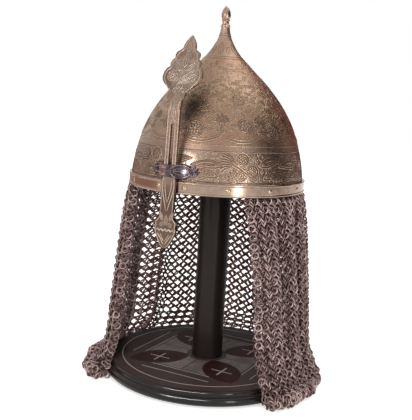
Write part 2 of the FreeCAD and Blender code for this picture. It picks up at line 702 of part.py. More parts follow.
def make_petal_inlays():
    petals, _, _ = inlay_pieces(0, INLAY_DEPTH)
    marks = Part.makeCompound(around(cross_mark(INLAY_GAP, base_top_z() + OVERRUN,
                                                OVERRUN + INLAY_DEPTH / 2)))
    return Part.makeCompound([shape.cut(marks) for shape in petals])


def make_mark_inlays():
    depth = INLAY_DEPTH / 2
    return Part.makeCompound(around(cross_mark(0, base_top_z(), depth)))


def make_field_inlays():
    _, fields, _ = inlay_pieces(0, INLAY_DEPTH)
    return Part.makeCompound(fields)


def make_line_inlays():
    _, _, lines = inlay_pieces(0, INLAY_DEPTH)
    return Part.makeCompound(lines)


def make_base_felt():
    """Felt disc under the base, which the stand rests on."""
    return Part.makeCylinder(base_foot_r() - FELT_INSET, FELT_THICK)


def column_top_z():
    return RIM_Z + BOWL_H - COLUMN_TOP_DROP


def make_stand_column():
    """Round column with a tenon below and screw holes at both ends."""
    low = base_top_z()
    top = column_top_z()
    shaft = Part.makeCylinder(COLUMN_R, top - low, Vector(0, 0, low))
    column = shaft.fuse(Part.makeCylinder(TENON_R, TENON_L, Vector(0, 0, low - TENON_L)))
    radius = SCREW_R + SHANK_FIT
    low_hole = Part.makeCylinder(radius, SCREW_L, Vector(0, 0, low - TENON_L))
    top_hole = Part.makeCylinder(radius, SCREW_L, Vector(0, 0, top - SCREW_L))
    return column.cut([low_hole, top_hole]).removeSplitter()


def pad_line(depth):
    """Two points of a line along the bowl's inside where the rest bears, moved in."""
    inside = moved_in(bowl_points(), BOWL_WALL + SOFT_GAP + depth)
    (r0, z0), (r1, z1) = inside[8], inside[10]
    near = (r0 + (r1 - r0) * 0.12, z0 + (z1 - z0) * 0.12)
    far = (r0 + (r1 - r0) * 0.70, z0 + (z1 - z0) * 0.70)
    return near, far


def make_helmet_rest():
    """Turned mushroom on the column whose top follows the inside of the bowl."""
    near, far = pad_line(PAD_THICK + SEAT_GAP)
    low = column_top_z()
    lip = (near[0], near[1] - REST_LIP_H)
    waist = ((COLUMN_R * 2 + near[0]) / 3, low + (lip[1] - low) / 3)
    rest = spun_polygon([(0, low), (COLUMN_R, low), waist, lip, near, far, (0, far[1])])
    shank = Part.makeCylinder(SCREW_R + SHANK_FIT, REST_H + OVERRUN, Vector(0, 0, low - OVERRUN))
    head = Part.makeCylinder(SCREW_HEAD_R + INLAY_GAP, REST_H,
                             Vector(0, 0, far[1] - SCREW_HEAD_H - INLAY_GAP))
    return rest.cut([shank, head])


def make_rest_pad():
    """Felt ring between the rest and the bowl."""
    outer_near, outer_far = pad_line(0)
    inner_near, inner_far = pad_line(PAD_THICK)
    return spun_polygon([outer_near, outer_far, inner_far, inner_near])


def wood_screw(head_z, up):
    """Wood screw on the axis: flat head, then a shank towards +Z or -Z."""
    points = [(0, 0), (SCREW_HEAD_R, 0), (SCREW_HEAD_R, SCREW_HEAD_H * 0.4),
              (SCREW_R, SCREW_HEAD_H), (SCREW_R, SCREW_L * 0.9), (0, SCREW_L)]
    screw = spun_polygon(points)
    if not up:
        screw.rotate(Vector(0, 0, 0), Vector(1, 0, 0), 180)
    screw.translate(Vector(0, 0, head_z))
    return screw


def make_column_screw():
    return wood_screw(FELT_THICK + INLAY_GAP, True)


def make_rest_screw():
    _, far = pad_line(PAD_THICK + SEAT_GAP)
    return wood_screw(far[1] - INLAY_GAP, False)


PIECES = {
    "stand_base": make_stand_base,
    "petal_inlays": make_petal_inlays,
    "mark_inlays": make_mark_inlays,
    "field_inlays": make_field_inlays,
    "line_inlays": make_line_inlays,
    "base_felt": make_base_felt,
    "stand_column": make_stand_column,
    "column_screw": make_column_screw,
    "helmet_rest": make_helmet_rest,
    "rest_pad": make_rest_pad,
    "rest_screw": make_rest_screw,
    "bowl": make_bowl,
    "finial": make_finial,
    "brow_band": make_brow_band,
    "brow_band_rivets": make_band_rivets,
    "sweatband": make_sweatband,
    "nasal_bracket": make_nasal_bracket,
    "bracket_rivets": make_bracket_rivets,
    "mail_curtain": make_mail_curtain,
    "nasal_bar": make_nasal_bar,
    "clamp_screw": make_clamp_screw,
}

for name, make in PIECES.items():
    make().exportStep("parts/" + name + ".step")
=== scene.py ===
import itertools
import math
import random

import bpy
import numpy as np
from mathutils import Matrix, Vector
from mathutils.bvhtree import BVHTree


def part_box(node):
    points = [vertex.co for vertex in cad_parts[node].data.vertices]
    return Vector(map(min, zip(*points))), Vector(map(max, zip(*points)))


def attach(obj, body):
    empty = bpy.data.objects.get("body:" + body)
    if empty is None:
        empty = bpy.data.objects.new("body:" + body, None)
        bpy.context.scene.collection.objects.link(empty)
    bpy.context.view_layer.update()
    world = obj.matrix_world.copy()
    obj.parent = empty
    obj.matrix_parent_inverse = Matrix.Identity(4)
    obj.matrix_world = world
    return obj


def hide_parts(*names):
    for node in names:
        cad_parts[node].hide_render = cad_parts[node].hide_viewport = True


bl_info = {
    "name": "Spired Helmet Finish",
    "version": (1, 0, 0),
    "blender": (4, 5, 0),
    "location": "View3D > Sidebar > Helmet",
    "description": "Engraving, linked mail, fittings, finishes and a stage for the helmet",
    "category": "Object",
}

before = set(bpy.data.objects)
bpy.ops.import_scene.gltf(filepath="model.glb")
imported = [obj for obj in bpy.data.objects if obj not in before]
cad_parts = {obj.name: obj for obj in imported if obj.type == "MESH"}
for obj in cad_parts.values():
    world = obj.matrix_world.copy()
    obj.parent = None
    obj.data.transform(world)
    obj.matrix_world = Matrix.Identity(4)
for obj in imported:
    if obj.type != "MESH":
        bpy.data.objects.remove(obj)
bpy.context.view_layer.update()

# All lengths below are millimetres; heights of the helmet are from its rim. The front
# faces -Y, and angles round the helmet are degrees from the front towards +X.
MM = 0.001
RIM_Z = 232.6
BOWL_R = 104.0
BOWL_H = 188.0
BOWL_OUTLINE = (
    (1.000, 0.000), (0.991, 0.069), (0.971, 0.144), (0.937, 0.239), (0.888, 0.332),
    (0.810, 0.428), (0.706, 0.524), (0.581, 0.612), (0.442, 0.694), (0.325, 0.755),
    (0.208, 0.820), (0.149, 0.858), (0.110, 0.895), (0.070, 0.944), (0.050, 1.000))
PLAIN_STRIP = (49.0, 55.0)
SCALLOPS = 12

NASAL_FRONT = 109.1
NASAL_THICK = 3.0
NASAL_LEAN = math.radians(3.2)
NASAL_BEND = math.radians(18.8)
NASAL_BEND_H = 88.0
NASAL_BEND_R = 40.0
BRACKET_MID_H = 25.0

# How much of its free room a ring keeps where the mail is gathered, and how much smaller
# the rings and their wire are there
CROWDED = 0.45
SMALLER_RING = 0.27
SMALLER_WIRE = 0.16
# The curtain's middle below the rim and above the floor, and the radius it hangs at
MAIL_TOP = 4.0
MAIL_FLOOR = 5.0
HANGER_R = 102.4
# Where a crease in the mail lies in shade, as shares of the way round
CREASE, CREASE_WIDTH = 0.722, 0.03
# Height as a share of the rim's, radius, depth of the folds out and in, how far the hem
# heaps out in front, right and left edge
MAIL_ROWS = (
    (1.000, 102.4, 0.0, 0.0, 0.0, 47.0, 47.0),
    (0.930, 104.0, 2.9, 2.1, 0.0, 49.5, 46.8),
    (0.800, 106.9, 4.2, 3.7, 0.0, 52.5, 46.5),
    (0.590, 111.5, 4.4, 4.2, 0.0, 55.5, 46.0),
    (0.400, 115.4, 4.4, 4.2, 0.0, 56.5, 45.5),
    (0.240, 118.6, 4.2, 3.7, 0.6, 57.0, 45.0),
    (0.145, 121.2, 4.0, 1.7, 2.3, 57.5, 43.5),
    (0.090, 127.0, 3.3, 1.0, 8.3, 57.5, 41.0),
    (0.050, 131.5, 2.7, 0.8, 15.6, 58.0, 38.0),
    (0.000, 132.7, 2.3, 1.0, 19.8, 58.5, 35.5))

# Where each fold begins, as a share of the way round, and its depth as a share
MAIL_FOLDS = (
    (0.000, 0.80), (0.030, 1.00), (0.060, 1.00), (0.092, 1.00), (0.122, 1.00), (0.152, 1.00),
    (0.184, 0.90), (0.214, 0.80), (0.250, 0.50), (0.335, 0.45), (0.430, 0.40), (0.530, 0.45),
    (0.625, 0.60), (0.705, 1.00), (0.740, 0.70), (0.795, 0.80), (0.835, 1.00), (0.872, 1.00),
    (0.905, 1.00), (0.937, 1.00), (0.968, 0.80), (1.000, 0.00))

# The stage, in metres; the camera's directions are unit vectors
AIM_Z = 0.23
FLOOR_SIZE = 8.0
FLOOR_DROP = 0.0004
FLOOR_GLOW = 0.55
CAMERA_AT = (0.4308088, -0.7921544, 0.3443484)
CAMERA_AHEAD = (-0.48246328, 0.86181913, -0.15651508)
CAMERA_UP = (-0.12469156, 0.10929147, 0.98615789)

# Shift between two patterns of one finish, so that they don't match
FAR = (0.31, 0.17, 0.05)
# Edges that turn by more than this angle are rounded
EDGE_ANGLE = 0.6
# Stitches round each edge of the sweatband
STITCHES = 110


# Shader trees

def linear(hex_colour):
    """Linear colour from an sRGB hex value."""
    parts = [int(hex_colour[i:i + 2], 16) / 255 for i in (1, 3, 5)]
    return [c / 12.92 if c <= 0.04045 else ((c + 0.055) / 1.055) ** 2.4 for c in parts] + [1.0]


class Nodes:
    """Fills one shader tree; inputs take a link from a socket, a hex colour or a value."""

    def __init__(self, tree):
        self.tree = tree
        tree.nodes.clear()

    def feed(self, socket, value):
        """Sets one input."""
        if isinstance(value, bpy.types.NodeSocket):
            self.tree.links.new(value, socket)
        else:
            socket.default_value = linear(value) if isinstance(value, str) else value

    def add(self, kind, feeds=None, **settings):
        """New node with its settings, then what feeds its inputs."""
        made = self.tree.nodes.new("ShaderNode" + kind)
        for name, value in settings.items():
            setattr(made, name, value)
        for name, value in (feeds or {}).items():
            self.feed(made.inputs[name], value)
        return made

    def calc(self, operation, a, b):
        """Sum, product or the like of two numbers."""
        return self.add("Math", {0: a, 1: b}, operation=operation).outputs[0]

    def vector(self, operation, a, b):
        """Sum or product of two vectors, or the distance between them."""
        made = self.add("VectorMath", {0: a, 1: b}, operation=operation)
        return made.outputs["Value" if operation == "DISTANCE" else "Vector"]

    def remap(self, value, low, high, to_low=0.0, to_high=1.0):
        """Value moved from one range to another and held inside it."""
        return self.add("MapRange", {"Value": value, "From Min": low, "From Max": high,
                                     "To Min": to_low, "To Max": to_high}).outputs["Result"]

    def mix(self, factor, a, b):
        """Blend of two colours."""
        return self.add("Mix", {0: factor, 6: a, 7: b}, data_type="RGBA").outputs[2]

    def tint(self, base, colour, value, low, high, at_low, at_high):
        """Colour laid over the base with a strength that a value sets between two levels."""
        return self.mix(self.remap(value, low, high, at_low, at_high), base, colour)

    def ramp(self, factor, *stops):
        """Colour ramp with stops of (position, hex colour)."""
        made = self.add("ValToRGB", {"Fac": factor})
        elements = made.color_ramp.elements
        while len(elements) < len(stops):
            elements.new(0.5)
        for element, (at, colour) in zip(elements, stops):
            element.position = at
            element.color = linear(colour)
        return made.outputs["Color"]


class Look(Nodes):
    """A material with one Principled shader, patterned in the object's own space."""

    def __init__(self, name):
        self.material = bpy.data.materials.new(name)
        self.material.use_nodes = True
        super().__init__(self.material.node_tree)
        self.shader = self.add("BsdfPrincipled")
        self.output = self.add("OutputMaterial", {"Surface": self.shader.outputs[0]})
        self.where = self.add("TexCoord").outputs["Object"]

    def noise(self, size_mm, detail, rough=0.55, stretch=(1, 1, 1), shift=(0, 0, 0)):
        """Noise whose features are about size_mm across."""
        where = self.vector("ADD", self.vector("MULTIPLY", self.where, stretch), shift)
        return self.add("TexNoise", {"Vector": where, "Scale": 1 / (size_mm * MM),
                                     "Detail": detail, "Roughness": rough}).outputs["Fac"]

    def cells(self, size_mm, randomness=1.0):
        """Distance from the middles of soft cells about size_mm across."""
        return self.add("TexVoronoi", {
            "Vector": self.where, "Scale": 1 / (size_mm * MM), "Randomness": randomness},
            feature="SMOOTH_F1").outputs["Distance"]

    def axis(self, name, vector=None):
        """One coordinate of a vector, or else of the place on the object."""
        return self.add("SeparateXYZ", {"Vector": vector or self.where}).outputs[name]

    def by_height(self, low, high, to_low=0.0, to_high=1.0):
        """Value that changes between two heights above the rim."""
        return self.remap(self.axis("Z"), (RIM_Z + low) * MM, (RIM_Z + high) * MM, to_low, to_high)

    def away(self, x, y, height, stretch=(1, 1, 1)):
        """Distance in metres from a place, in a space that is stretched along its axes."""
        place = [at * MM * scale for at, scale in zip((x, y, RIM_Z + height), stretch)]
        return self.vector("DISTANCE", self.vector("MULTIPLY", self.where, stretch), place)

    def set(self, **inputs):
        """Sets the shader's inputs, with _ for a space in their names."""
        for name, value in inputs.items():
            self.feed(self.shader.inputs[name.replace("_", " ")], value)
        return self.material

    def finish(self, height, depth_mm, **inputs):
        """Sets the shader's bump and its other inputs."""
        bump = self.add("Bump", {"Height": height, "Distance": depth_mm * MM, "Strength": 1.0})
        return self.set(Normal=bump.outputs["Normal"], **inputs)

    def metal(self, grain, depth_mm, colour, rough):
        """Bare metal whose gloss changes with its grain."""
        return self.finish(grain, depth_mm, Base_Color=colour, Metallic=1.0,
                           Roughness=self.remap(grain, 0.3, 0.75, rough - 0.06, rough + 0.12))


def new_piece(name, points, faces, materials, body, slots=None):
    """Mesh piece from points in millimetres, riding on a body."""
    mesh = bpy.data.meshes.new(name)
    mesh.from_pydata((np.asarray(points) * MM).tolist(), [], faces)
    for material in materials:
        mesh.materials.append(material)
    if slots is not None:
        mesh.polygons.foreach_set("material_index", np.asarray(slots, dtype=np.int32))
    mesh.polygons.foreach_set("use_smooth", [True] * len(mesh.polygons))
    mesh.update()
    piece = bpy.data.objects.new(name, mesh)
    bpy.context.collection.objects.link(piece)
    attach(piece, body)
    return piece


# Finishes

def raised_brass(name, light, mid, dark, red, rough):
    """Hand-raised sheet brass, etched and browned with age: a warm dull sheen, blotched
    brown where the patina is thick, punched all over, and darker from just above the rim downwards."""
    look = Look(name)
    grain = look.noise(3.2, 6.0, 0.7)
    cells = look.cells(1.7)
    base = look.ramp(look.noise(42, 5.0, 0.6), (0.30, dark), (0.48, mid), (0.70, light))
    base = look.tint(base, red, look.noise(60, 3.0, shift=FAR), 0.45, 0.68, 0.0, 0.65)
    base = look.tint(base, dark, grain, 0.52, 0.75, 0.0, 0.45)
    base = look.tint(base, dark, cells, 0.25, 0.80, 0.0, 0.55)
    # Darker from 22 mm above the rim to 8 mm below it
    base = look.mix(look.by_height(-8, 22, 0.85, 0.0), base, dark)
    height = look.calc("ADD", grain, look.remap(cells, 0.05, 0.55))
    return look.finish(height, 0.10, Base_Color=base, Metallic=1.0,
                       Roughness=look.remap(grain, 0.3, 0.75, rough - 0.08, rough + 0.14))


def painted_nasal_shadow(look, grain, base):
    """Painted shadow: a greenish brown patch on the bowl behind the nasal bar's terminal, where the
    terminal's shade falls.
    """
    ragged = look.calc("ADD", look.away(4, -75.5, 96, (1.0, 1.0, 0.6)),
                       look.remap(grain, 0.3, 0.7, -0.0015, 0.0015))
    # The painted shadow's colour, darkest in the middle of the patch
    return look.tint(base, "#35342A", ragged, 0.005, 0.019, 0.82, 0.0)


def bowl_brass(style):
    """The bowl's brass, etched all over but for a plain strip between two lines: the
    etched ground is punched and holds brown, the plain strip is smoother and paler, a
    greenish brown patch behind the nasal bar's terminal is painted shadow, and two places,
    beside the clamp screw and on the right, are made smoother and painted paler as painted glare."""
    look = Look("etched_raised_brass")
    grain = look.noise(2.0, 7.0, 0.72)
    base = look.ramp(look.noise(30, 5.0, 0.62), (0.30, "#8E7864"), (0.50, style.brass_mid),
                     (0.74, style.brass_light))
    base = look.tint(base, style.brass_red, look.noise(55, 2.0, shift=FAR), 0.46, 0.66, 0.0, 0.6)
    low, high = PLAIN_STRIP
    plain = look.calc("MULTIPLY", look.by_height(low - 0.6, low + 0.6),
                      look.by_height(high - 0.6, high + 0.6, 1.0, 0.0))
    pits = look.calc("MULTIPLY", look.remap(look.cells(2.3, 0.9), 0.15, 0.75),
                     look.remap(plain, 0.0, 1.0, 1.0, 0.12))
    pits = look.calc("MULTIPLY", pits, look.by_height(40, 70, 0.70, 0.45))
    base = look.mix(pits, base, style.brass_dark)
    # Darker below the plain strip, towards the patina colour
    base = look.mix(look.by_height(46, 62, 0.76, 0.0), base, style.patina)
    base = look.tint(base, style.patina, grain, 0.55, 0.80, 0.0, 0.35)
    # Painted reflection: the spire is painted paler and pinker for the light above it
    base = look.mix(look.by_height(146, 170, 0.0, 0.5), base, "#B6978A")
    # Painted shadow behind the nasal bar's terminal
    base = painted_nasal_shadow(look, grain, base)
    rough = look.remap(grain, 0.3, 0.75, 0.30, 0.48)
    # Two painted highlights, beside the clamp screw and on the right: the brass is painted paler
    # there as painted glare, and made smoother
    for place, near, far, most, smooth in (
            ((16, -99.5, 36), 3, 13, 0.75, -0.16), ((73, -68, 27), 4, 19, 0.55, -0.10)):
        ragged = look.calc("ADD", look.away(*place), look.remap(grain, 0.3, 0.7, -0.003, 0.003))
        painted_glare = look.remap(ragged, near * MM, far * MM, most, 0.0)
        base = look.mix(painted_glare, base, "#CDBBA8")
        rough = look.calc("ADD", rough, look.remap(painted_glare, 0.0, most, 0.0, smooth))
    return look.finish(look.calc("SUBTRACT", grain, pits), 0.20, Base_Color=base, Metallic=1.0,
                       Roughness=rough)


def rubbed_metal(name, colour, dark, rough, grain_mm=2.0, depth=0.04, with_nasal_shadow=False):
    """Metal worn by hands: bright where it stands up, with a fine dull mottle."""
    look = Look(name)
    grain = look.noise(grain_mm, 6.0, 0.65)
    base = look.tint(colour, dark, grain, 0.42, 0.72, 0.0, 0.8)
    if with_nasal_shadow:
        # Painted shadow behind the nasal bar's terminal, so that lines on the bowl take it too
        base = painted_nasal_shadow(look, grain, base)
    return look.metal(grain, depth, base, rough)


def bracket_steel(name, colour, dark, rough):
    """Blackened steel, bright where it is worn; a painted glint lightens a spot on its right
    wing, and its left wing is painted a brassy pink as a painted reflection of the bowl."""
    look = Look(name)
    grain = look.noise(3.0, 6.0, 0.65)
    base = look.tint(colour, dark, grain, 0.40, 0.66, 0.0, 0.9)
    # Painted reflection: the left wing is painted brassy pink
    base = look.tint(base, "#A48C86", look.axis("X"), -0.006, -0.001, 0.55, 0.0)
    # Painted glint: a pale spot on the right wing
    painted_glint_spot = look.away(16.5, 0.0, BRACKET_MID_H, (1.0, 0.0, 1.3))
    base = look.tint(base, "#C2B8B7", painted_glint_spot, 0.0008, 0.0040, 0.85, 0.0)
    return look.metal(grain, 0.10, base, rough)


def mail_steel(style):
    """Drawn steel wire, blackened and going brown: each ring has its own colour,
    and is darker along the crease as painted shade, with a narrow sheen along its round back,
    and more rust behind, where hands don't rub it."""
    look = Look("browned_steel_wire")
    tone_and_crease_shade, rust = (look.add("Attribute", attribute_name=name).outputs["Fac"]
                  for name in ("ring_tone_and_crease_shade", "ring_rust"))
    grain = look.noise(1.6, 5.0, 0.7)
    base = look.ramp(tone_and_crease_shade, (0.0, style.mail_dark), (0.45, style.mail_mid),
                     (0.85, style.mail_light))
    base = look.tint(base, style.mail_rust, rust, 0.0, 1.0, 0.20, 0.75)
    base = look.tint(base, style.mail_rust, grain, 0.48, 0.72, 0.0, 0.5)
    return look.finish(grain, 0.05, Base_Color=base, Metallic=0.75,
                       Roughness=look.remap(grain, 0.3, 0.8, 0.30, 0.56))


def lacquer(name, side, flat, rough, coat):
    """Turned wood under thick black lacquer: near black, with a hard clear gloss on the
    turned sides, and a flat top that handling has worn dull; the top takes a colour of its own,
    which on the base is lighter as a painted reflection."""
    look = Look(name)
    lines = look.noise(7, 5.0, 0.6, stretch=(1, 1, 0.12))
    facing = look.add("NewGeometry").outputs["Normal"]
    top = look.remap(look.axis("Z", facing), 0.93, 0.995)
    # The flat top takes its own colour; on the base it is lighter than the sides, a painted
    # reflection
    base = look.mix(top, look.tint(side, "#1B1412", lines, 0.45, 0.75, 0.0, 0.5), flat)
    return look.finish(lines, 0.01, Base_Color=base, IOR=1.45, Specular_IOR_Level=0.16,
                       Coat_Weight=look.remap(top, 0.0, 1.0, coat, 0.0), Coat_Roughness=0.10,
                       Roughness=look.remap(top, 0.0, 1.0, rough, 0.5))


def inlay(name, colour, dark, rough):
    """Thin veneer let into the lacquer and varnished over: flat colour broken by grain."""
    look = Look(name)
    grain = look.noise(3.0, 6.0, 0.7, stretch=(1, 0.35, 1))
    base = look.tint(colour, dark, grain, 0.40, 0.70, 0.0, 0.4)
    base = look.tint(base, dark, look.noise(22, 3.0), 0.45, 0.70, 0.0, 0.5)
    return look.finish(grain, 0.01, Base_Color=base, IOR=1.45, Specular_IOR_Level=0.22,
                       Roughness=look.remap(grain, 0.3, 0.7, rough, rough + 0.1))


def fibre_felt(name, colour, dark):
    """Pressed wool felt: matt, with short fibres at 0.6 mm and a soft nap."""
    look = Look(name)
    fibre = look.noise(0.6, 4.0, 0.8)
    return look.finish(fibre, 0.25, Base_Color=look.mix(fibre, colour, dark), Roughness=0.95,
                       Sheen_Weight=0.4, Sheen_Roughness=0.5)


def grained_leather(name, colour, dark):
    """Vegetable-tanned leather: brown, with a fine pebble of about 1.5 mm."""
    look = Look(name)
    pebble = look.cells(1.5)
    wear = look.noise(18, 5.0)
    base = look.tint(colour, dark, wear, 0.4, 0.7, 0.0, 1.0)
    base = look.tint(base, dark, pebble, 0.2, 0.7, 0.5, 0.0)
    return look.finish(pebble, 0.12, Base_Color=base, IOR=1.45,
                       Roughness=look.remap(wear, 0.3, 0.7, 0.45, 0.62))


def linen_thread(name, colour, dark):
    """Waxed thread, twisted."""
    look = Look(name)
    twist = look.noise(0.7, 3.0, 0.7)
    return look.finish(twist, 0.1, Base_Color=look.mix(twist, colour, dark), Roughness=0.75)


# Curved surfaces that relief is laid on

def around(radius, angle, height):
    """Points at a radius, an angle in radians from the front and a height."""
    return np.stack(np.broadcast_arrays(
        radius * np.sin(angle), -radius * np.cos(angle), height), axis=-1)


def arc_samples(a, b, c, count):
    """Points along the arc through three points."""
    (ax, ay), (bx, by), (cx, cy) = a, b, c
    d = 2 * (ax * (by - cy) + bx * (cy - ay) + cx * (ay - by))
    ux = ((ax**2 + ay**2) * (by - cy) + (bx**2 + by**2) * (cy - ay)
          + (cx**2 + cy**2) * (ay - by)) / d
    uy = ((ax**2 + ay**2) * (cx - bx) + (bx**2 + by**2) * (ax - cx)
          + (cx**2 + cy**2) * (bx - ax)) / d
    start = math.atan2(ay - uy, ax - ux)
    turn = math.atan2(cy - uy, cx - ux) - start
    turn = (turn + math.pi) % (2 * math.pi) - math.pi
    angles = start + turn * np.linspace(0, 1, count)
    radius = math.hypot(ax - ux, ay - uy)
    return np.c_[ux + radius * np.cos(angles), uy + radius * np.sin(angles)]


class BowlSurface:
    """The bowl's outside, as a length up the meridian and an angle round the axis."""

    def __init__(self):
        corners = [(r * BOWL_R, z * BOWL_H) for r, z in BOWL_OUTLINE]
        parts = [arc_samples(*corners[i:i + 3], 41)[:-1] for i in range(0, 14, 2)]
        line = np.vstack(parts + [[corners[-1]]])
        steps = np.hypot(*np.diff(line, axis=0).T)
        self.radius, self.height = line.T
        self.along = np.r_[0, np.cumsum(steps)]
        self.slope_r = np.gradient(self.radius, self.along)
        self.slope_z = np.gradient(self.height, self.along)

    def along_at(self, height):
        """Length up the meridian to a height."""
        return float(np.interp(height, self.height, self.along))

    def radius_at(self, height):
        """Radius at a height."""
        return float(np.interp(height, self.height, self.radius))

    def at(self, angle, height):
        """Function that lays a drawing centred at an angle and height on the bowl."""
        start = self.along_at(height)

        def place(x, y, lift):
            up = start + y
            radius = np.interp(up, self.along, self.radius)
            out_r = np.interp(up, self.along, self.slope_z)
            out_z = -np.interp(up, self.along, self.slope_r)
            turn = math.radians(angle) + x / radius
            z = RIM_Z + np.interp(up, self.along, self.height) + lift * out_z
            return around(radius + lift * out_r, turn, z)
        return place


def nasal_place(x, y, lift):
    """Lays a drawing on the front of the nasal bar; y is the height along the bar."""
    bend_front = NASAL_BEND_R + NASAL_THICK
    over = np.clip(y - NASAL_BEND_H, 0, None)
    turn = np.clip(over / bend_front, 0, NASAL_BEND)
    rest = np.clip(over - bend_front * NASAL_BEND, 0, None)
    axis_y = -(NASAL_FRONT - NASAL_THICK) + NASAL_BEND_R
    reach = bend_front + lift
    py = axis_y - reach * np.cos(turn) + rest * np.sin(turn)
    pz = np.minimum(y, NASAL_BEND_H) + reach * np.sin(turn) + rest * np.cos(turn)
    py = np.where(over > 0, py, -(NASAL_FRONT + lift))
    dy, dz = py + NASAL_FRONT, pz - BRACKET_MID_H
    c, s = math.cos(NASAL_LEAN), math.sin(NASAL_LEAN)
    return np.c_[x, -NASAL_FRONT + dy * c + dz * s, RIM_Z + BRACKET_MID_H - dy * s + dz * c]


def resampled(path, step, closed=False):
    """Path with even steps along it."""
    path = np.asarray(path, float)
    if closed:
        path = np.vstack([path, path[:1]])
    lengths = np.hypot(*np.diff(path, axis=0).T)
    along = np.r_[0, np.cumsum(lengths)]
    count = max(int(round(along[-1] / step)), 3)
    at = np.linspace(0, along[-1], count + 1)
    if closed:
        at = at[:-1]
    return np.c_[np.interp(at, along, path[:, 0]), np.interp(at, along, path[:, 1])]


class Relief:
    """Raised lines with a dark valley along both sides, gathered into one mesh."""

    def __init__(self):
        self.points, self.faces, self.slots = [], [], []

    def stroke(self, place, path, width, height, closed=False, valley=0.45, step=0.9, cut=False,
               soft=False):
        """One line laid on a surface: raised, or cut between two raised edges; a soft one
        takes the second pair of materials."""
        path = resampled(path, step, closed)
        count = len(path)
        if closed:
            ahead = np.roll(path, -1, axis=0) - np.roll(path, 1, axis=0)
        else:
            ahead = np.gradient(path, axis=0)
        ahead /= np.maximum(np.hypot(*ahead.T), 1e-9)[:, None]
        side = np.c_[-ahead[:, 1], ahead[:, 0]]
        swell = np.ones(count)
        if not closed:
            ends = np.minimum(np.arange(count), np.arange(count)[::-1]) / max(count * 0.22, 1)
            swell = 0.30 + 0.70 * np.clip(ends, 0, 1) ** 0.7
        half, bank = width / 2 * swell, valley * swell
        edge, middle = (height * swell, 0.03) if cut else (0.07, height * swell)
        rows = ((-half - bank, -0.10), (-half, edge), (0 * half, middle), (half, edge),
                (half + bank, -0.10))
        i = np.arange(count if closed else count - 1)
        j = (i + 1) % count
        points, faces, slots = [], [], []
        for offset, lift in rows:
            at = path + side * np.asarray(offset)[:, None]
            points.append(place(at[:, 0], at[:, 1], lift + 0 * half))
        for row in range(4):
            low, high = row * count, (row + 1) * count
            faces.append(np.c_[low + i, high + i, high + j, low + j][:, ::-1])
            slots.append(np.full(len(i), int((row in (0, 3)) != cut) + 2 * soft))
        self.points.append(np.vstack(points))
        self.faces.append(np.vstack(faces))
        self.slots.append(np.concatenate(slots))

    def strokes(self, place, paths, width, height, **more):
        """Lines that share a place and a size."""
        for path, closed in paths:
            self.stroke(place, path, width, height, closed, **more)

    def pieces(self, names, materials, body):
        """The strokes in one mesh, or dealt out in order to several of about the same size."""
        order = np.cumsum([len(faces) for faces in self.faces])
        order = (order - 1) * len(names) // order[-1]
        for part, name in enumerate(names):
            pick = np.flatnonzero(order == part)
            start = np.cumsum([0] + [len(self.points[k]) for k in pick])
            faces = np.vstack([self.faces[k] + start[n] for n, k in enumerate(pick)])
            new_piece(name, np.vstack([self.points[k] for k in pick]), faces.tolist(), materials,
                      body, np.concatenate([self.slots[k] for k in pick]))


# Ornament, drawn in millimetres as lists of (path, closed)

def moved(paths, turn=0.0, x=0.0, y=0.0, flip=False):
    """Paths turned by degrees from upright towards +X, and shifted."""
    c, s = math.cos(math.radians(turn)), math.sin(math.radians(turn))
    out = []
    for path, closed in paths:
        p = np.asarray(path, float) * (-1 if flip else 1, 1)
        out.append((np.c_[p[:, 0] * c + p[:, 1] * s + x, -p[:, 0] * s + p[:, 1] * c + y], closed))
    return out


def leaf(length, width, bend=0.0, vein=True):
    """Pointed leaf growing up from the origin."""
    t = np.linspace(0, 1, 15)
    spine = np.c_[bend * length * t**2, length * t]
    ahead = np.gradient(spine, axis=0)
    ahead /= np.hypot(*ahead.T)[:, None]
    half = width / 2 * np.sin(np.pi * t**0.8)
    side = np.c_[ahead[:, 1], -ahead[:, 0]] * half[:, None]
    outline = np.vstack([spine + side, (spine - side)[::-1][1:-1]])
    return [(outline, True)] + ([(spine[1:-3], False)] if vein else [])


def scroll(radius, turns, tail=0.0):
    """Tendril that grows up from the origin and curls to the right."""
    t = np.linspace(0, 1, int(22 * turns) + 8)
    r = radius * (1 - 0.82 * t)
    a = 2 * np.pi * turns * t
    curl = np.c_[radius - r * np.cos(a), r * np.sin(a)]
    if tail:
        curl = np.vstack([[(0, -tail), (0, -tail / 2)], curl])
    return [(curl, False)]


def circle(radius, count=24):
    """Ring round the origin."""
    a = np.linspace(0, 2 * np.pi, count, endpoint=False)
    return [(np.c_[radius * np.sin(a), radius * np.cos(a)], True)]


def rosette(radius, petals):
    """Round flower with its eye, petals and rim."""
    paths = circle(radius * 0.24, 14) + circle(radius)
    for i in range(petals):
        (petal, closed), = moved(leaf(radius * 0.62, radius * 0.46, vein=False), 360 / petals * i)
        middle = petal.mean(axis=0)
        paths.append((petal + middle / np.hypot(*middle) * (radius * 0.28), closed))
    return paths


def palmette(size, lobes, spread):
    """Fan of leaves on a short stem with a pair of scrolls below."""
    paths = []
    for i in range(lobes):
        turn = spread * (2 * i / (lobes - 1) - 1)
        length = size * (1 - 0.38 * abs(turn) / 90)
        paths += moved(leaf(length, size * 0.24, 0.16 * np.sign(turn)), turn, 0, size * 0.10)
    for turn in (60, -60):
        paths += moved(scroll(size * 0.22, 1.2), turn, flip=turn < 0)
    return paths


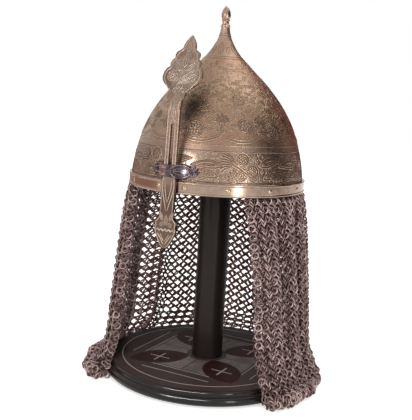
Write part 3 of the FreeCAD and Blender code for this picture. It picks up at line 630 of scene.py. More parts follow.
def vine(length, sway, pairs, leaf_l):
    """Wavy stem growing up from the origin with leaves and tendrils either side."""
    t = np.linspace(0, 1, 40)
    stem = np.c_[sway * np.sin(2 * np.pi * t * pairs / 4), length * t]
    paths = [(stem, False)]
    for i in range(1, pairs + 1):
        x, y = stem[int(39 * i / (pairs + 0.6))]
        side = 1 if i % 2 else -1
        paths += moved(leaf(leaf_l, leaf_l * 0.42, 0.22), side * 52, x, y, side < 0)
        paths += moved(scroll(leaf_l * 0.30, 1.15), -side * 40, x, y, side > 0)
    return paths


def comma(length, bend):
    """Short bowed fleck across the origin."""
    t = np.linspace(0, 1, 7)
    return [(np.c_[bend * length * np.sin(np.pi * t) * 0.5, length * (t - 0.5)], False)]


def softened(values, width):
    """Values with their corners rounded off over a number of samples."""
    kernel = np.hanning(2 * width + 1)
    wide = np.pad(values, width, mode="reflect", reflect_type="odd")
    return np.convolve(wide, kernel / kernel.sum(), mode="valid")


def smooth_path(points, count=30):
    """Path through the points with its corners rounded."""
    at, whole = np.linspace(0, len(points) - 1, count), np.arange(len(points))
    return np.stack([softened(np.interp(at, whole, values), 3) for values in zip(*points)], axis=1)


def crowded(places, turn, height, radius, room):
    """Whether a spot lies on ornament that is already there."""
    for at, level, reach in places:
        rise = height - level
        if abs(rise) < reach + room:
            gap = math.radians((turn - at + 180) % 360 - 180) * radius
            if abs(gap) < reach + room and math.hypot(gap, rise * 1.1) < reach + room:
                return True
    return False


def engrave_bowl(relief, surface, rng):
    """Lines round the bowl, scallops, rosettes, sprays, swags and small scrolls between."""
    cell = 360 / SCALLOPS
    wide = cell * 2
    full = []
    bold = {"width": 1.15, "lift": 0.38, "valley": 0.75}
    fine = {"width": 0.85, "lift": 0.28}

    def cut(turn, height, paths, width=0.75, lift=0.24, valley=0.55, **more):
        relief.strokes(surface.at(turn, height), paths, width, lift, cut=True, valley=valley,
                       **more)

    for height, width, sunk in ((15.6, 1.0, True), (48.9, 0.8, True), (PLAIN_STRIP[1], 1.0, False),
                                (150.5, 0.9, True), (153.0, 0.7, True), (178.0, 0.8, True),
                                (180.5, 0.8, True)):
        reach = math.pi * surface.radius_at(height)
        x = np.linspace(-reach, reach, 721)
        relief.stroke(surface.at(0, height), np.c_[x, 0 * x], width, 0.26, step=1.8, cut=sunk,
                      soft=height > 140)

    for i in range(SCALLOPS):
        middle = cell * (i + 0.5)
        place = surface.at(middle, 56.0)
        half = math.radians(cell / 2) * 99.5
        x = np.linspace(-half, half, 61)
        cusp = np.abs(x) / half
        y = 1.4 + 9.4 * cusp**2.3
        relief.stroke(place, np.c_[x, y + 1.2 * (1 - 0.4 * cusp**6)], 1.5, 0.38, valley=1.1)
        relief.stroke(place, np.c_[x, y + 4.3 * (1 - 0.3 * cusp**6)][3:-3], 0.9, 0.30, valley=0.8)
        cut(cell * i, 68.6, leaf(7.5, 3.6))
        for side in (-1, 1):
            cut(cell * i, 68.0, moved(leaf(6.2, 2.6, 0.2, False), side * 50, 0, 0.5, side < 0))
        turn, height, radius, petals = (2.6, 77.0, 6.8, 7) if i % 2 else (-4.0, 71.5, 8.0, 8)
        cut(middle + turn, height, rosette(radius, petals), **fine)
        cut(middle + turn, height, circle(radius + 1.9, 30), 0.8)
        full.append((middle + turn, height, radius + 3.2))
        for side in (-1, 1):
            cut(middle + turn, height, moved(leaf(radius * 1.25, 3.4, 0.3), side * 64,
                                             side * (radius + 1.0), -1.0, side < 0))

    for i in range(SCALLOPS // 2):
        # Lower field: a spray rises off the band, with rosettes, rays, bands and leaves
        middle = wide * i + 41.0
        for lean in (-80, -58, -36, -14, 10, 34, 58):
            petal = leaf(14.0 - 0.04 * abs(lean), 4.6, 0.14 * np.sign(lean))
            cut(middle, 17.0, moved(petal, lean, 0, 1.0), **bold)
        full.append((middle, 22.5, 12.5))
        for turn, height, radius in ((3.4, 41.0, 5.8), (9.6, 28.0, 6.4)):
            cut(middle + turn, height, rosette(radius, 6), **bold)
            relief.strokes(surface.at(middle + turn, height), circle(radius + 2.1, 26), 1.0,
                           0.30, valley=0.8)
            full.append((middle + turn, height, radius + 3.0))
        for k in range(8):
            a = math.radians(-118 + 11.5 * k)
            length = min(16.0, 12.5 / max(math.cos(a), 0.1) - 4.5)
            out = 4.5 + length / 2
            cut(middle, 30.5, moved(comma(length, 0.3), math.degrees(a), -1 + out * math.sin(a),
                                    4 + out * math.cos(a)), 1.25, 0.40, 0.7)
        full.append((middle - 6.0, 36.0, 9.5))
        for shift in (-2.6, 0.4, 3.4):
            band = [(x, y + shift) for x, y in (
                (-9.0, 10.6), (-3.0, 8.0), (5.0, 3.0), (14.0, -3.6), (22.0, -9.0))]
            cut(middle, 26.0, [(smooth_path(band), False)], **bold)
        for turn, height, length, lean in (
                (-12.0, 21.5, 34.0, -70), (-9.5, 33.0, 34.0, -76), (-15.0, 27.0, 26.0, -104),
                (18.0, 20.0, 30.0, 58), (15.5, 34.0, 27.0, 64), (20.0, 27.5, 24.0, 92)):
            nested = leaf(length, 8.6, 0.24) + moved(leaf(length * 0.74, 4.6, 0.24, False),
                                                     y=length * 0.13)
            cut(middle + turn, height, moved(nested, lean, flip=lean < 0), **bold)
            a = math.radians(lean)
            for k in (0.25, 0.5, 0.75, 0.95):
                full.append((middle + turn + math.degrees(length * k * math.sin(a) / 101),
                             height + length * k * math.cos(a), 4.0))
        for turn in (-27.0, 27.5):
            cut(middle + turn, 17.5, palmette(11.0, 5, 60), **bold)
            full.append((middle + turn, 23.0, 8.0))

        # Upper field: two stems of leaves in turn, then swags under the spire's collar
        for offset, low, length, sway, pairs, size in (
                (15.0, 82.0, 54.0, 4.6, 9, 10.5), (45.0, 88.0, 48.0, 4.2, 11, 9.4)):
            turn = wide * i + offset
            cut(turn, low, vine(length, sway, pairs, size), soft=True, **fine)
            full += [(turn, low + 4.0 + k * 9.0, 7.6 - k * 0.5) for k in range(6)]
        cut(wide * i + 44.0, 104.0, rosette(7.0, 7), **fine)
        for turn in (wide * i, wide * i + 30.0):
            cut(turn, 79.0, palmette(11.5, 7, 70), 0.8, 0.26)
            cut(turn, 93.0, vine(36.0, 2.6, 6, 7.2), 0.8, 0.26, soft=True)
            full.append((turn, 84.0, 9.0))
            full += [(turn, 96.0 + k * 8.0, 4.6) for k in range(4)]
        half = math.radians(wide / 2) * surface.radius_at(137.5)
        x = np.linspace(-half, half, 41)
        for rise, width in ((0.0, 1.2), (2.6, 0.8)):
            relief.stroke(surface.at(wide * i + 45.0, 136.5), np.c_[x, 8.0 * (x / half)**2 + rise],
                          width, 0.30, valley=0.7)
        cut(wide * i + 15.0, 143.5, leaf(6.0, 3.4))

    # Spire: long upright leaves, then bare metal
    for i in range(6):
        cut(60 * i + 15, 155.0, leaf(19.0, 6.5), 0.8, soft=True)
        cut(60 * i + 45, 155.5, leaf(12.0, 4.0), 0.7, soft=True)

    # Small scrolls and flecks fill the ground between
    rows = itertools.count()

    def ground(low, rise, pitch, play):
        """Spots in rows up the bowl, out of the plain strip and the scallops' edge."""
        along = surface.along_at(low)
        while along < surface.along_at(147.0):
            shift = 0.5 * (next(rows) % 2)
            radius = float(np.interp(along, surface.along, surface.radius))
            height = float(np.interp(along, surface.along, surface.height))
            count = int(2 * math.pi * radius / pitch)
            if not surface.along_at(45.5) < along < surface.along_at(70.0):
                for k in range(count):
                    yield (k + shift + rng.uniform(-play, play)) * 360 / count, height, radius
            along += rise

    spots = []
    for turn, height, radius in ground(19.5, 6.4, 7.4, 0.18):
        reach = rng.uniform(1.9, 2.7)
        if not crowded(full, turn, height, radius, reach + 0.4):
            drawn = moved(scroll(reach, 1.25, 1.6), rng.uniform(0, 360), flip=rng.random() < 0.5)
            cut(turn, height, drawn, 0.8, step=0.8, soft=True)
            spots.append((turn, height, reach + 0.6))
    for turn, height, radius in ground(18.3, 3.3, 3.9, 0.25):
        if not (crowded(full, turn, height, radius, 0.0)
                or crowded(spots, turn, height, radius, 0.9)):
            lean = 55 * math.sin(math.radians(turn * 6)) + rng.uniform(-45, 45)
            fleck = comma(rng.uniform(2.2, 3.6), rng.choice((-0.9, 0.9)))
            cut(turn, height, moved(fleck, lean), 0.7, 0.20, step=0.9, soft=True)


def engrave_nasal(relief):
    """Foliage on the terminal, rails along the slot, a flower and leaves below."""
    start = NASAL_BEND_H + (NASAL_BEND_R + NASAL_THICK) * NASAL_BEND

    def line(side, points, width, height, base=0.0, **more):
        relief.stroke(nasal_place, [(side * x, base + y) for x, y in points], width, height, **more)

    def motif(side, paths, turn, x, y, width, height, **more):
        relief.strokes(nasal_place, moved(paths, side * turn, side * x, y, side < 0), width,
                       height, **more)

    # Rails beside the slot and along both edges of the bar, low enough to slide in the bracket
    for side in (-1, 1):
        line(side, [(6.7, 10.0), (6.7, 92.0)], 1.1, 0.26, step=2.0)
        line(side, [(3.2, 18.0), (3.2, 77.0)], 0.9, 0.24, step=2.0)
        line(side, [(5.9, 86.0), (4.6, 96.0), (6.6, 104.0)], 0.8, 0.28)
    slot_end = [(3.2 * math.sin(a), 77.0 + 3.2 * math.cos(a))
                for a in np.linspace(-math.pi / 2, math.pi / 2, 9)]
    line(1, slot_end, 0.9, 0.22)
    motif(1, leaf(12.0, 5.0), 0, 0, 81.5, 0.7, 0.22)

    # Terminal: border, two rosettes, a palmette and scrolls
    for side in (-1, 1):
        line(side, [(9.0, 8.5), (14.5, 14.0), (18.6, 19.0), (21.6, 24.0), (22.4, 28.0),
                    (20.6, 33.6), (16.4, 37.0), (16.8, 43.0), (13.2, 47.2), (12.6, 52.5),
                    (9.0, 56.6), (6.0, 59.0), (5.0, 65.0), (2.6, 70.0), (0.0, 74.0)],
             1.0, 0.34, start)
    for side in (-1, 1):
        motif(1, rosette(6.0, 6), 0, side * 12.4, start + 27.5, 0.7, 0.30)
        motif(side, scroll(3.2, 1.3, 3.0), 28, 2.0, start + 12.0, 0.7, 0.28)
        motif(side, leaf(12.0, 4.6, 0.25), 24, 5.0, start + 33.5, 0.7, 0.28)
        motif(side, scroll(2.4, 1.2), 10, 8.0, start + 45.0, 0.6, 0.26)
    motif(1, palmette(15.0, 7, 70), 0, 0, start + 18.0, 0.75, 0.30)
    motif(1, leaf(17.0, 6.5), 0, 0, start + 38.0, 0.7, 0.30)
    motif(1, leaf(13.0, 4.6), 0, 0, start + 56.0, 0.65, 0.28)
    line(1, [(-15.5, 35.5), (-8, 33.5), (0, 35.0), (8, 33.5), (15.5, 35.5)], 0.8, 0.28, start)

    # Shank below the bracket: a flower on lines that close to a point
    for side in (-1, 1):
        line(side, [(7.6, 15.0), (7.4, 6.0), (5.2, -4.0), (2.6, -12.0), (0.9, -19.5)], 1.0, 0.34)
        line(side, [(4.2, 14.5), (3.8, 5.0), (1.6, -5.0), (0.3, -10.0)], 0.8, 0.30)
        line(side, [(7.7, 2.0), (7.6, -20.5)], 0.7, 0.26)

    # Leaf: border, a row of points across and scrolls above and below
    for side in (-1, 1):
        line(side, [(0.6, -60.0), (4.6, -57.6), (8.4, -51.2), (12.2, -43.4), (12.8, -39.6),
                    (11.8, -36.4), (12.6, -32.4), (9.4, -28.6), (7.2, -24.8), (7.0, -20.0)],
             0.9, 0.32)
        motif(side, scroll(2.6, 1.3, 2.0), 20, 2.8, -34.0, 0.7, 0.24, cut=True)
        motif(side, leaf(9.5, 3.2, 0.25), 12, 4.8, -30.0, 0.7, 0.24, cut=True)
        for reach, low in ((9.4, -57.0), (5.6, -53.0)):
            line(side, [(reach, -44.6), (reach * 0.62, -49.0), (0.5, low)], 0.9, 0.30, valley=0.6)
    motif(1, leaf(11.0, 4.0), 0, 0, -35.0, 0.75, 0.24, cut=True)
    zigzag = [(x, -40.6 + (1.3 if k % 2 else -1.1)) for k, x in enumerate(np.linspace(-12, 12, 11))]
    line(1, zigzag, 1.3, 0.60, step=0.7, valley=0.8)


# Mail

class MailSurface:
    """Middle of the mail curtain as a grid of points: shares across, lengths down."""
    ACROSS = 900
    DOWN = 300

    def __init__(self, depth):
        share = np.linspace(0, 1, self.ACROSS)
        up = np.linspace(1.0, 0.0, self.DOWN)
        columns = [np.interp(up[::-1], [row[0] for row in MAIL_ROWS][::-1],
                             [row[k] for row in MAIL_ROWS][::-1])[::-1] for k in range(1, 7)]
        radius, out, inward, heap, right, left = [softened(c, 7) for c in columns]
        wave = np.zeros(self.ACROSS)
        for i, ((begin, deep), (end, _)) in enumerate(zip(MAIL_FOLDS, MAIL_FOLDS[1:])):
            here = (share >= begin) & (share <= end)
            bow = np.sin(np.pi * (share[here] - begin) / (end - begin))
            wave[here] = (1 if i % 2 else -1) * deep * bow
        wave = softened(wave, 5)[None, :] * depth
        swell = np.where(wave > 0, wave * out[:, None], wave * inward[:, None])
        angle = np.radians(right[:, None] + share[None] * (360 - left - right)[:, None])
        front = (1 + np.cos(angle)) / 2
        reach = radius[:, None] + swell
        height = np.linspace(RIM_Z - MAIL_TOP, MAIL_FLOOR, self.DOWN)[:, None]
        self.grid = around(reach, angle, height)
        self.heap(reach[-1], angle[-1], heap[-1] * front[-1])
        steps = np.linalg.norm(np.diff(self.grid, axis=0), axis=2)
        self.length = np.vstack([np.zeros(self.ACROSS), np.cumsum(steps, axis=0)])

    def heap(self, reach, angle, run):
        """The hem runs out over the floor, most beside the face, and rolls back on itself."""
        rows = []
        curl = np.clip(run / 3, 0, 4.4)
        flat = np.clip(run - curl, 0, None)
        for t in np.linspace(0, 1, 40)[1:]:
            rows.append(around(reach + flat * t, angle, MAIL_FLOOR - t))
        bent = 0.45
        for t in np.linspace(0, 1, 60)[1:]:
            turn = np.pi * min(t / bent, 1.0)
            back = max(t - bent, 0.0) / (1 - bent) * 0.75
            far = reach + flat + curl * np.sin(turn) - back * flat
            high = MAIL_FLOOR - 1 + curl * (1 - np.cos(turn)) + 2.4 * back * np.clip(run / 12, 0, 1)
            rows.append(around(far, angle, high))
        self.grid = np.concatenate([self.grid, rows])

    def row(self, down):
        """Points of the curtain at one length down from its top, and which exist."""
        index = np.arange(self.ACROSS)
        at = np.array([np.interp(down, self.length[:, i], np.arange(len(self.grid)))
                       for i in index])
        low = np.minimum(at.astype(int), len(self.grid) - 2)
        part = (at - low)[:, None]
        points = self.grid[low, index] * (1 - part) + self.grid[low + 1, index] * part
        return points, self.length[-1] >= down


def gather(share):
    """How far the rings are pushed together: free behind, crowded beside the face."""
    free = np.interp(share, (0, 0.22, 0.30, 0.69, 0.71, 0.735, 0.76, 0.78, 0.84, 1),
                     (0, 0, 1, 1, 0.2, 0.2, 1, 1, 0, 0))
    return CROWDED + (1 - CROWDED) * free


def mail_lattice(surface, columns, pitch):
    """Centres, directions across and down, turns, places round and rows of the rings."""
    total = int(surface.length[-1].max() / pitch)
    lines = [surface.row(k * pitch + 0.01) for k in range(total + 2)]
    share = np.linspace(0, 1, surface.ACROSS)
    room = (gather(share[1:]) + gather(share[:-1])) / 2
    found = []
    for k in range(total + 1):
        points, there = lines[k]
        steps = np.linalg.norm(np.diff(points, axis=0), axis=1)
        along = np.r_[0, np.cumsum(steps / room)]
        step = along[-1] / (columns + 0.5)
        column = np.arange(columns)
        place = np.interp(step * (0.5 + 0.5 * (k % 2) + column), along, np.arange(len(points)))
        low = place.astype(int)
        high = np.minimum(low + 1, len(points) - 1)
        part = (place - low)[:, None]

        def sample(rows):
            return rows[low] * (1 - part) + rows[high] * part

        smooth = np.stack([softened(points[:, axis], 4) for axis in range(3)], axis=1)
        wide = sample(np.gradient(smooth, axis=0))
        down = sample(lines[k + 1][0] - lines[max(k - 1, 0)][0])
        round_at = place / (len(points) - 1)
        yaw = np.arccos(gather(round_at)) * np.where(column % 2, 1, -1)
        keep = there[low]
        found.append([a[keep] for a in (sample(points), unit(wide), unit(down), yaw, round_at)]
                     + [np.full(int(keep.sum()), k)])
    return [np.concatenate(parts) for parts in zip(*found)]


def ring_template(around=18, section=8):
    """A ring as directions from its centre, directions from its wire's middle, and faces."""
    a = np.linspace(0, 2 * np.pi, around, endpoint=False)
    b = np.linspace(0, 2 * np.pi, section, endpoint=False)
    a, b = np.meshgrid(a, b, indexing="ij")
    reach = np.stack([np.cos(a), np.sin(a), 0 * a], -1).reshape(-1, 3)
    round_wire = np.stack([np.cos(b) * np.cos(a), np.cos(b) * np.sin(a), np.sin(b)], -1)
    i, j = np.meshgrid(np.arange(around), np.arange(section), indexing="ij")
    i, j = i.ravel(), j.ravel()
    n, m = (i + 1) % around, (j + 1) % section
    faces = np.c_[i * section + j, n * section + j, n * section + m, i * section + m]
    return reach, round_wire.reshape(-1, 3), faces


def unit(v):
    """Vectors with their length made 1."""
    return v / np.maximum(np.linalg.norm(v, axis=-1, keepdims=True), 1e-9)


def mail_piece(name, rings, size, rng, template, material):
    """One piece of mail: a ring at each centre, tilted one way or the other by row; rings
    that would sink into the floor lie on it."""
    centres, across, down, yaw, round_at, tilt = rings
    reach, round_wire, faces = template
    turns = np.radians(tilt + rng.normal(0, 4.0, len(centres)) * np.sign(tilt))
    out = unit(np.cross(across, down))
    skew = (yaw + np.radians(rng.normal(0, 6.0, len(centres))))[:, None]
    u = unit(across * np.cos(skew) + out * np.sin(skew))
    w = unit(np.cross(u, down))
    v = unit(np.cross(w, u))
    c, s = np.cos(turns)[:, None], np.sin(turns)[:, None]
    v, w = v * c + w * s, w * c - v * s
    packed = (1 - gather(round_at)) / (1 - CROWDED)
    radius = size.ring_radius / MM * (1 - SMALLER_RING * packed)
    wire = size.wire_radius / MM * (1 - SMALLER_WIRE * packed)
    shape = (reach[None] * radius[:, None, None] + round_wire[None] * wire[:, None, None])
    spots = centres + rng.normal(0, 0.18, centres.shape)
    all_points = (spots[:, None, :] + shape[:, :, 0:1] * u[:, None, :]
                  + shape[:, :, 1:2] * v[:, None, :] + shape[:, :, 2:3] * w[:, None, :])
    all_points[:, :, 2] += np.clip(-all_points[:, :, 2].min(axis=1), 0, None)[:, None]
    count = len(reach)
    all_faces = (faces[None] + (np.arange(len(centres)) * count)[:, None, None]).reshape(-1, 4)
    piece = new_piece(name, all_points.reshape(-1, 3), all_faces.tolist(), [material],
                      "helmet")
    # Painted shade: the rings' colours are darkened along the crease
    crease = np.clip(1 - np.abs(round_at - CREASE) / CREASE_WIDTH, 0, 1)
    tones_with_crease_shade = np.clip(rng.beta(2.2, 2.0, len(centres)), 0, 1) * (1 - 0.85 * crease)
    for attribute, values in (("ring_tone_and_crease_shade", tones_with_crease_shade), ("ring_rust", 1 - packed)):
        data = piece.data.attributes.new(attribute, "FLOAT", "POINT").data
        data.foreach_set("value", np.repeat(values, count).astype(np.float32))
    return piece


def doubled(rings, pitch):
    """Second layer of rings behind the first where the curtain is gathered, as its free
    edges are folded back on themselves there."""
    centres, across, down, yaw, round_at, tilt = rings
    pick = gather(round_at) < CROWDED + 0.12
    pick &= (round_at < 0.5) | (round_at > 0.8)
    out = unit(np.cross(across, down))
    inward = -out * np.sign(np.sum(out[:, :2] * centres[:, :2], axis=1))[:, None]
    behind = centres + down * pitch * 0.5 + inward * 3.2
    return [a[pick] for a in (behind, across, down, -yaw, round_at, -tilt)]


def tube(path, radius, sides=8):
    """Points and faces of a round tube along an open path, closed at both ends."""
    path = np.asarray(path, float)
    ahead = unit(np.gradient(path, axis=0))
    side = unit(np.cross(ahead, (0.0, 0.0, 1.0)) + 1e-9)
    up = np.cross(side, ahead)
    a = np.linspace(0, 2 * np.pi, sides, endpoint=False)
    ring = (side[:, None] * np.cos(a)[None, :, None] + up[:, None] * np.sin(a)[None, :, None])
    points = (path[:, None] + ring * radius).reshape(-1, 3)
    faces = []
    for i in range(len(path) - 1):
        for j in range(sides):
            k = (j + 1) % sides
            faces.append((i * sides + j, i * sides + k, (i + 1) * sides + k, (i + 1) * sides + j))
    faces.append(tuple(range(sides))[::-1])
    faces.append(tuple(range((len(path) - 1) * sides, len(path) * sides)))
    return points, faces


def joined(parts):
    """One list of points and faces from several."""
    points, faces, count = [], [], 0
    for part_points, part_faces in parts:
        points.append(np.asarray(part_points))
        faces += [tuple(i + count for i in face) for face in part_faces]
        count += len(part_points)
    return np.vstack(points), faces


# What a user would change

def colour_setting(name, description, default):
    return bpy.props.StringProperty(name=name, description=description, default=default)


def length_setting(name, description, default, low, high):
    return bpy.props.FloatProperty(name=name, description=description, default=default, min=low,
                                   max=high, subtype="DISTANCE", unit="LENGTH")


def power_setting(name, description, default):
    return bpy.props.FloatProperty(name=name, description=description, default=default, min=0.0,
                                   subtype="POWER", unit="POWER")


class HelmetFinishSettings(bpy.types.PropertyGroup):
    """Colours of the brass, as sRGB hex values."""
    brass_light: colour_setting("Light brass", "Rubbed brass on the bowl", "#B89A83")
    brass_mid: colour_setting("Brass", "Most of the bowl", "#A2866F")
    brass_dark: colour_setting("Dark brass", "Etched ground of the bowl", "#745B4B")
    brass_red: colour_setting("Red brass", "Coppery blotches", "#A37868")
    patina: colour_setting("Patina", "Brown-grey film in the hollows", "#776960")
    edge_round: length_setting("Edge rounding", "Width of the rounded edges of the metal parts",
                               0.0004, 0.0, 0.002)


class HelmetMailSettings(bpy.types.PropertyGroup):
    """Sizes and colours of the linked mail."""
    columns: bpy.props.IntProperty(
        name="Rings across", description="Rings in each row", default=73, min=20, max=110)
    row_pitch: length_setting("Row pitch", "Distance from row to row down the curtain",
                              0.0051, 0.003, 0.01)
    ring_radius: length_setting("Ring radius", "Radius of a ring to the middle of its wire",
                                0.00515, 0.002, 0.01)
    wire_radius: length_setting("Wire radius", "Half the thickness of the wire",
                                0.00112, 0.0003, 0.002)
    tilt: bpy.props.FloatProperty(
        name="Tilt", description="How far each row's rings lean out of the sheet",
        default=math.radians(27), min=0.0, max=1.2, subtype="ANGLE", unit="ROTATION")
    fold_depth: bpy.props.FloatProperty(
        name="Fold depth", description="Depth of the folds as a share of the curtain's own",
        default=1.0, min=0.0, max=1.3, subtype="FACTOR")
    mail_dark: colour_setting("Dark rings", "Darkest wire", "#332528")
    mail_mid: colour_setting("Rings", "Most of the wire", "#80706E")
    mail_light: colour_setting("Bright rings", "Rubbed wire", "#BFACA8")
    mail_rust: colour_setting("Rust", "Browned wire", "#7A5048")
    seed: bpy.props.IntProperty(name="Seed", description="Seed of the rings' play", default=7)


class HelmetStageSettings(bpy.types.PropertyGroup):
    """Light and camera."""
    key_power: power_setting("Key light", "Power of the small soft light in front", 3.2)
    glint_power: power_setting(
        "Glint light", "Power of the narrow light that draws the highlights", 3.3)
    strip_power: power_setting(
        "Strip light", "Power of the long light that streaks the base's edge", 24.0)
    top_power: power_setting("Top light", "Power of the large soft light above", 4.0)
    fill: bpy.props.FloatProperty(
        name="Fill", description="Strength of the surrounding light", default=0.8, min=0.0)
    lens: bpy.props.FloatProperty(
        name="Lens", description="Focal length of the camera in millimetres", default=65.094,
        min=10.0, max=300.0)


# Operators

def give(material, *nodes):
    """Puts a material in every slot of some CAD nodes' objects."""
    for node in nodes:
        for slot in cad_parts[node].material_slots:
            slot.link = "OBJECT"
            slot.material = material


def round_edges(node, width):
    """Rounds the sharp edges of a CAD node with a bevel that leaves its mesh alone."""
    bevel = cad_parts[node].modifiers.new("worn edges", "BEVEL")
    bevel.width = width
    bevel.segments = 2
    bevel.limit_method = "ANGLE"
    bevel.angle_limit = EDGE_ANGLE
    bevel.harden_normals = False


class HELMET_OT_finish_metal(bpy.types.Operator):
    """Give the helmet's solid parts their metals and leather"""
    bl_idname = "helmet.finish_metal"
    bl_label = "Finish Metal Parts"

    def execute(self, context):
        style = context.scene.helmet_finish
        give(bowl_brass(style), "bowl")
        give(rubbed_metal("turned_brass", "#B09584", "#66503F", 0.24), "finial")
        give(rubbed_metal("polished_band_brass", "#9D887A", "#826E60", 0.17, 9.0, 0.02),
             "brow_band")
        give(rubbed_metal("rivet_brass", "#B59C80", "#7A614C", 0.25), "brow_band_rivets")
        give(grained_leather("tanned_leather", "#5A3A28", "#33201A"), "sweatband")
        give(raised_brass("greyed_nasal_brass", "#B5A18D", "#95806F", "#5A483F", "#AA776C", 0.32),
             "nasal_bar")
        give(bracket_steel("darkened_bracket_steel", "#5E5156", "#221B1E", 0.26), "nasal_bracket")
        give(rubbed_metal("darkened_screw_steel", "#5E5154", "#2A2225", 0.34),
             "bracket_rivets", "clamp_screw")
        for node in ("nasal_bar", "nasal_bracket"):
            round_edges(node, style.edge_round)
        return {"FINISHED"}


class HELMET_OT_finish_stand(bpy.types.Operator):
    """Give the stand its lacquer, inlay, felt and steel"""
    bl_idname = "helmet.finish_stand"
    bl_label = "Finish Stand"

    def execute(self, context):
        # The base's top colour, #2B2120, is lighter than its sides as a painted reflection
        give(lacquer("black_lacquered_base", "#0B0908", "#2B2120", 0.22, 0.30), "stand_base")
        give(lacquer("black_lacquered_wood", "#241C19", "#241C19", 0.36, 0.06),
             "stand_column", "helmet_rest")
        give(inlay("dark_rosewood_veneer", "#3C1C18", "#210F0D", 0.50), "petal_inlays")
        give(inlay("grey_horn_veneer", "#857C78", "#40373A", 0.40), "field_inlays")
        give(inlay("pale_bone_line", "#B9B0A6", "#8E837A", 0.3), "line_inlays", "mark_inlays")
        give(fibre_felt("green_wool_felt", "#2E4A34", "#1B2E20"), "base_felt", "rest_pad")
        give(rubbed_metal("zinc_screw_steel", "#A9A9A6", "#6E6E6C", 0.35),
             "column_screw", "rest_screw")
        return {"FINISHED"}


class HELMET_OT_add_bowl_engraving(bpy.types.Operator):
    """Lay the chased ornament on the bowl"""
    bl_idname = "helmet.add_bowl_engraving"
    bl_label = "Add Bowl Engraving"

    def execute(self, context):
        # All four line materials carry the painted shadow behind the nasal bar's terminal
        bright = rubbed_metal("chased_brass_lines", "#A8907C", "#8A7262", 0.34, with_nasal_shadow=True)
        dark = rubbed_metal("patina_in_valleys", "#604B3F", "#4B382F", 0.5, with_nasal_shadow=True)
        pale = rubbed_metal("worn_brass_lines", "#B29880", "#9C836D", 0.36, with_nasal_shadow=True)
        brown = rubbed_metal("film_in_fine_cuts", "#766150", "#5E4C3F", 0.46, with_nasal_shadow=True)
        relief = Relief()
        engrave_bowl(relief, BowlSurface(), random.Random(5))
        relief.pieces(["bowl_engraving_1", "bowl_engraving_2", "bowl_engraving_3"],
                      [bright, dark, pale, brown], "helmet")
        return {"FINISHED"}


class HELMET_OT_add_nasal_engraving(bpy.types.Operator):
    """Lay the chased ornament on the nasal bar"""
    bl_idname = "helmet.add_nasal_engraving"
    bl_label = "Add Nasal Engraving"

    def execute(self, context):
        bright = rubbed_metal("chased_nasal_lines", "#BDA99A", "#8F7B6C", 0.35)
        dark = rubbed_metal("nasal_valleys", "#6A5A50", "#4A3E38", 0.5)
        relief = Relief()
        engrave_nasal(relief)
        relief.pieces(["nasal_engraving"], [bright, dark], "nasal")
        return {"FINISHED"}


class HELMET_OT_add_mail(bpy.types.Operator):
    """Hang linked rings in place of the plain curtain"""
    bl_idname = "helmet.add_mail"
    bl_label = "Add Mail"

    def execute(self, context):
        size = context.scene.helmet_mail
        steel = mail_steel(size)
        pitch = size.row_pitch / MM
        template = ring_template()
        rng = np.random.default_rng(size.seed)
        *rings, row = mail_lattice(MailSurface(size.fold_depth), size.columns, pitch)
        rings.append(math.degrees(size.tilt) * np.where(row % 2, 1, -1))
        for name, layer, parts in (("mail_rings", rings, 6),
                                   ("mail_fold_rings", doubled(rings, pitch), 4)):
            order = np.arange(len(layer[-1])) * parts // len(layer[-1])
            for part in range(parts):
                piece = mail_piece(f"{name}_{part + 1}", [a[order == part] for a in layer],
                                   size, rng, template, steel)
                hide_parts("mail_curtain")
        return {"FINISHED"}


class HELMET_OT_add_mail_hanger(bpy.types.Operator):
    """Add the wire inside the rim that the mail hangs from, with its lugs"""
    bl_idname = "helmet.add_mail_hanger"
    bl_label = "Add Mail Hanger"

    def execute(self, context):
        wire = rubbed_metal("hanger_wire_steel", "#6C5B58", "#3B2E2D", 0.36)
        z = RIM_Z - 2.6
        parts = [tube(around(HANGER_R, np.radians(np.linspace(45.0, 315.0, 181)), z), 0.85)]
        a = np.linspace(-math.pi / 2, math.pi / 2, 9)
        for turn in np.radians(np.linspace(48.0, 312.0, 17)):
            loop = (around(HANGER_R + 0.5, turn, z + 2.4 - 3.6 * np.cos(a))
                    + around(1.9 * np.sin(a), turn + math.pi / 2, 0.0))
            parts.append(tube(loop, 0.55, 6))
        points, faces = joined(parts)
        new_piece("mail_hanger_wire", points, faces, [wire], "helmet")
        return {"FINISHED"}


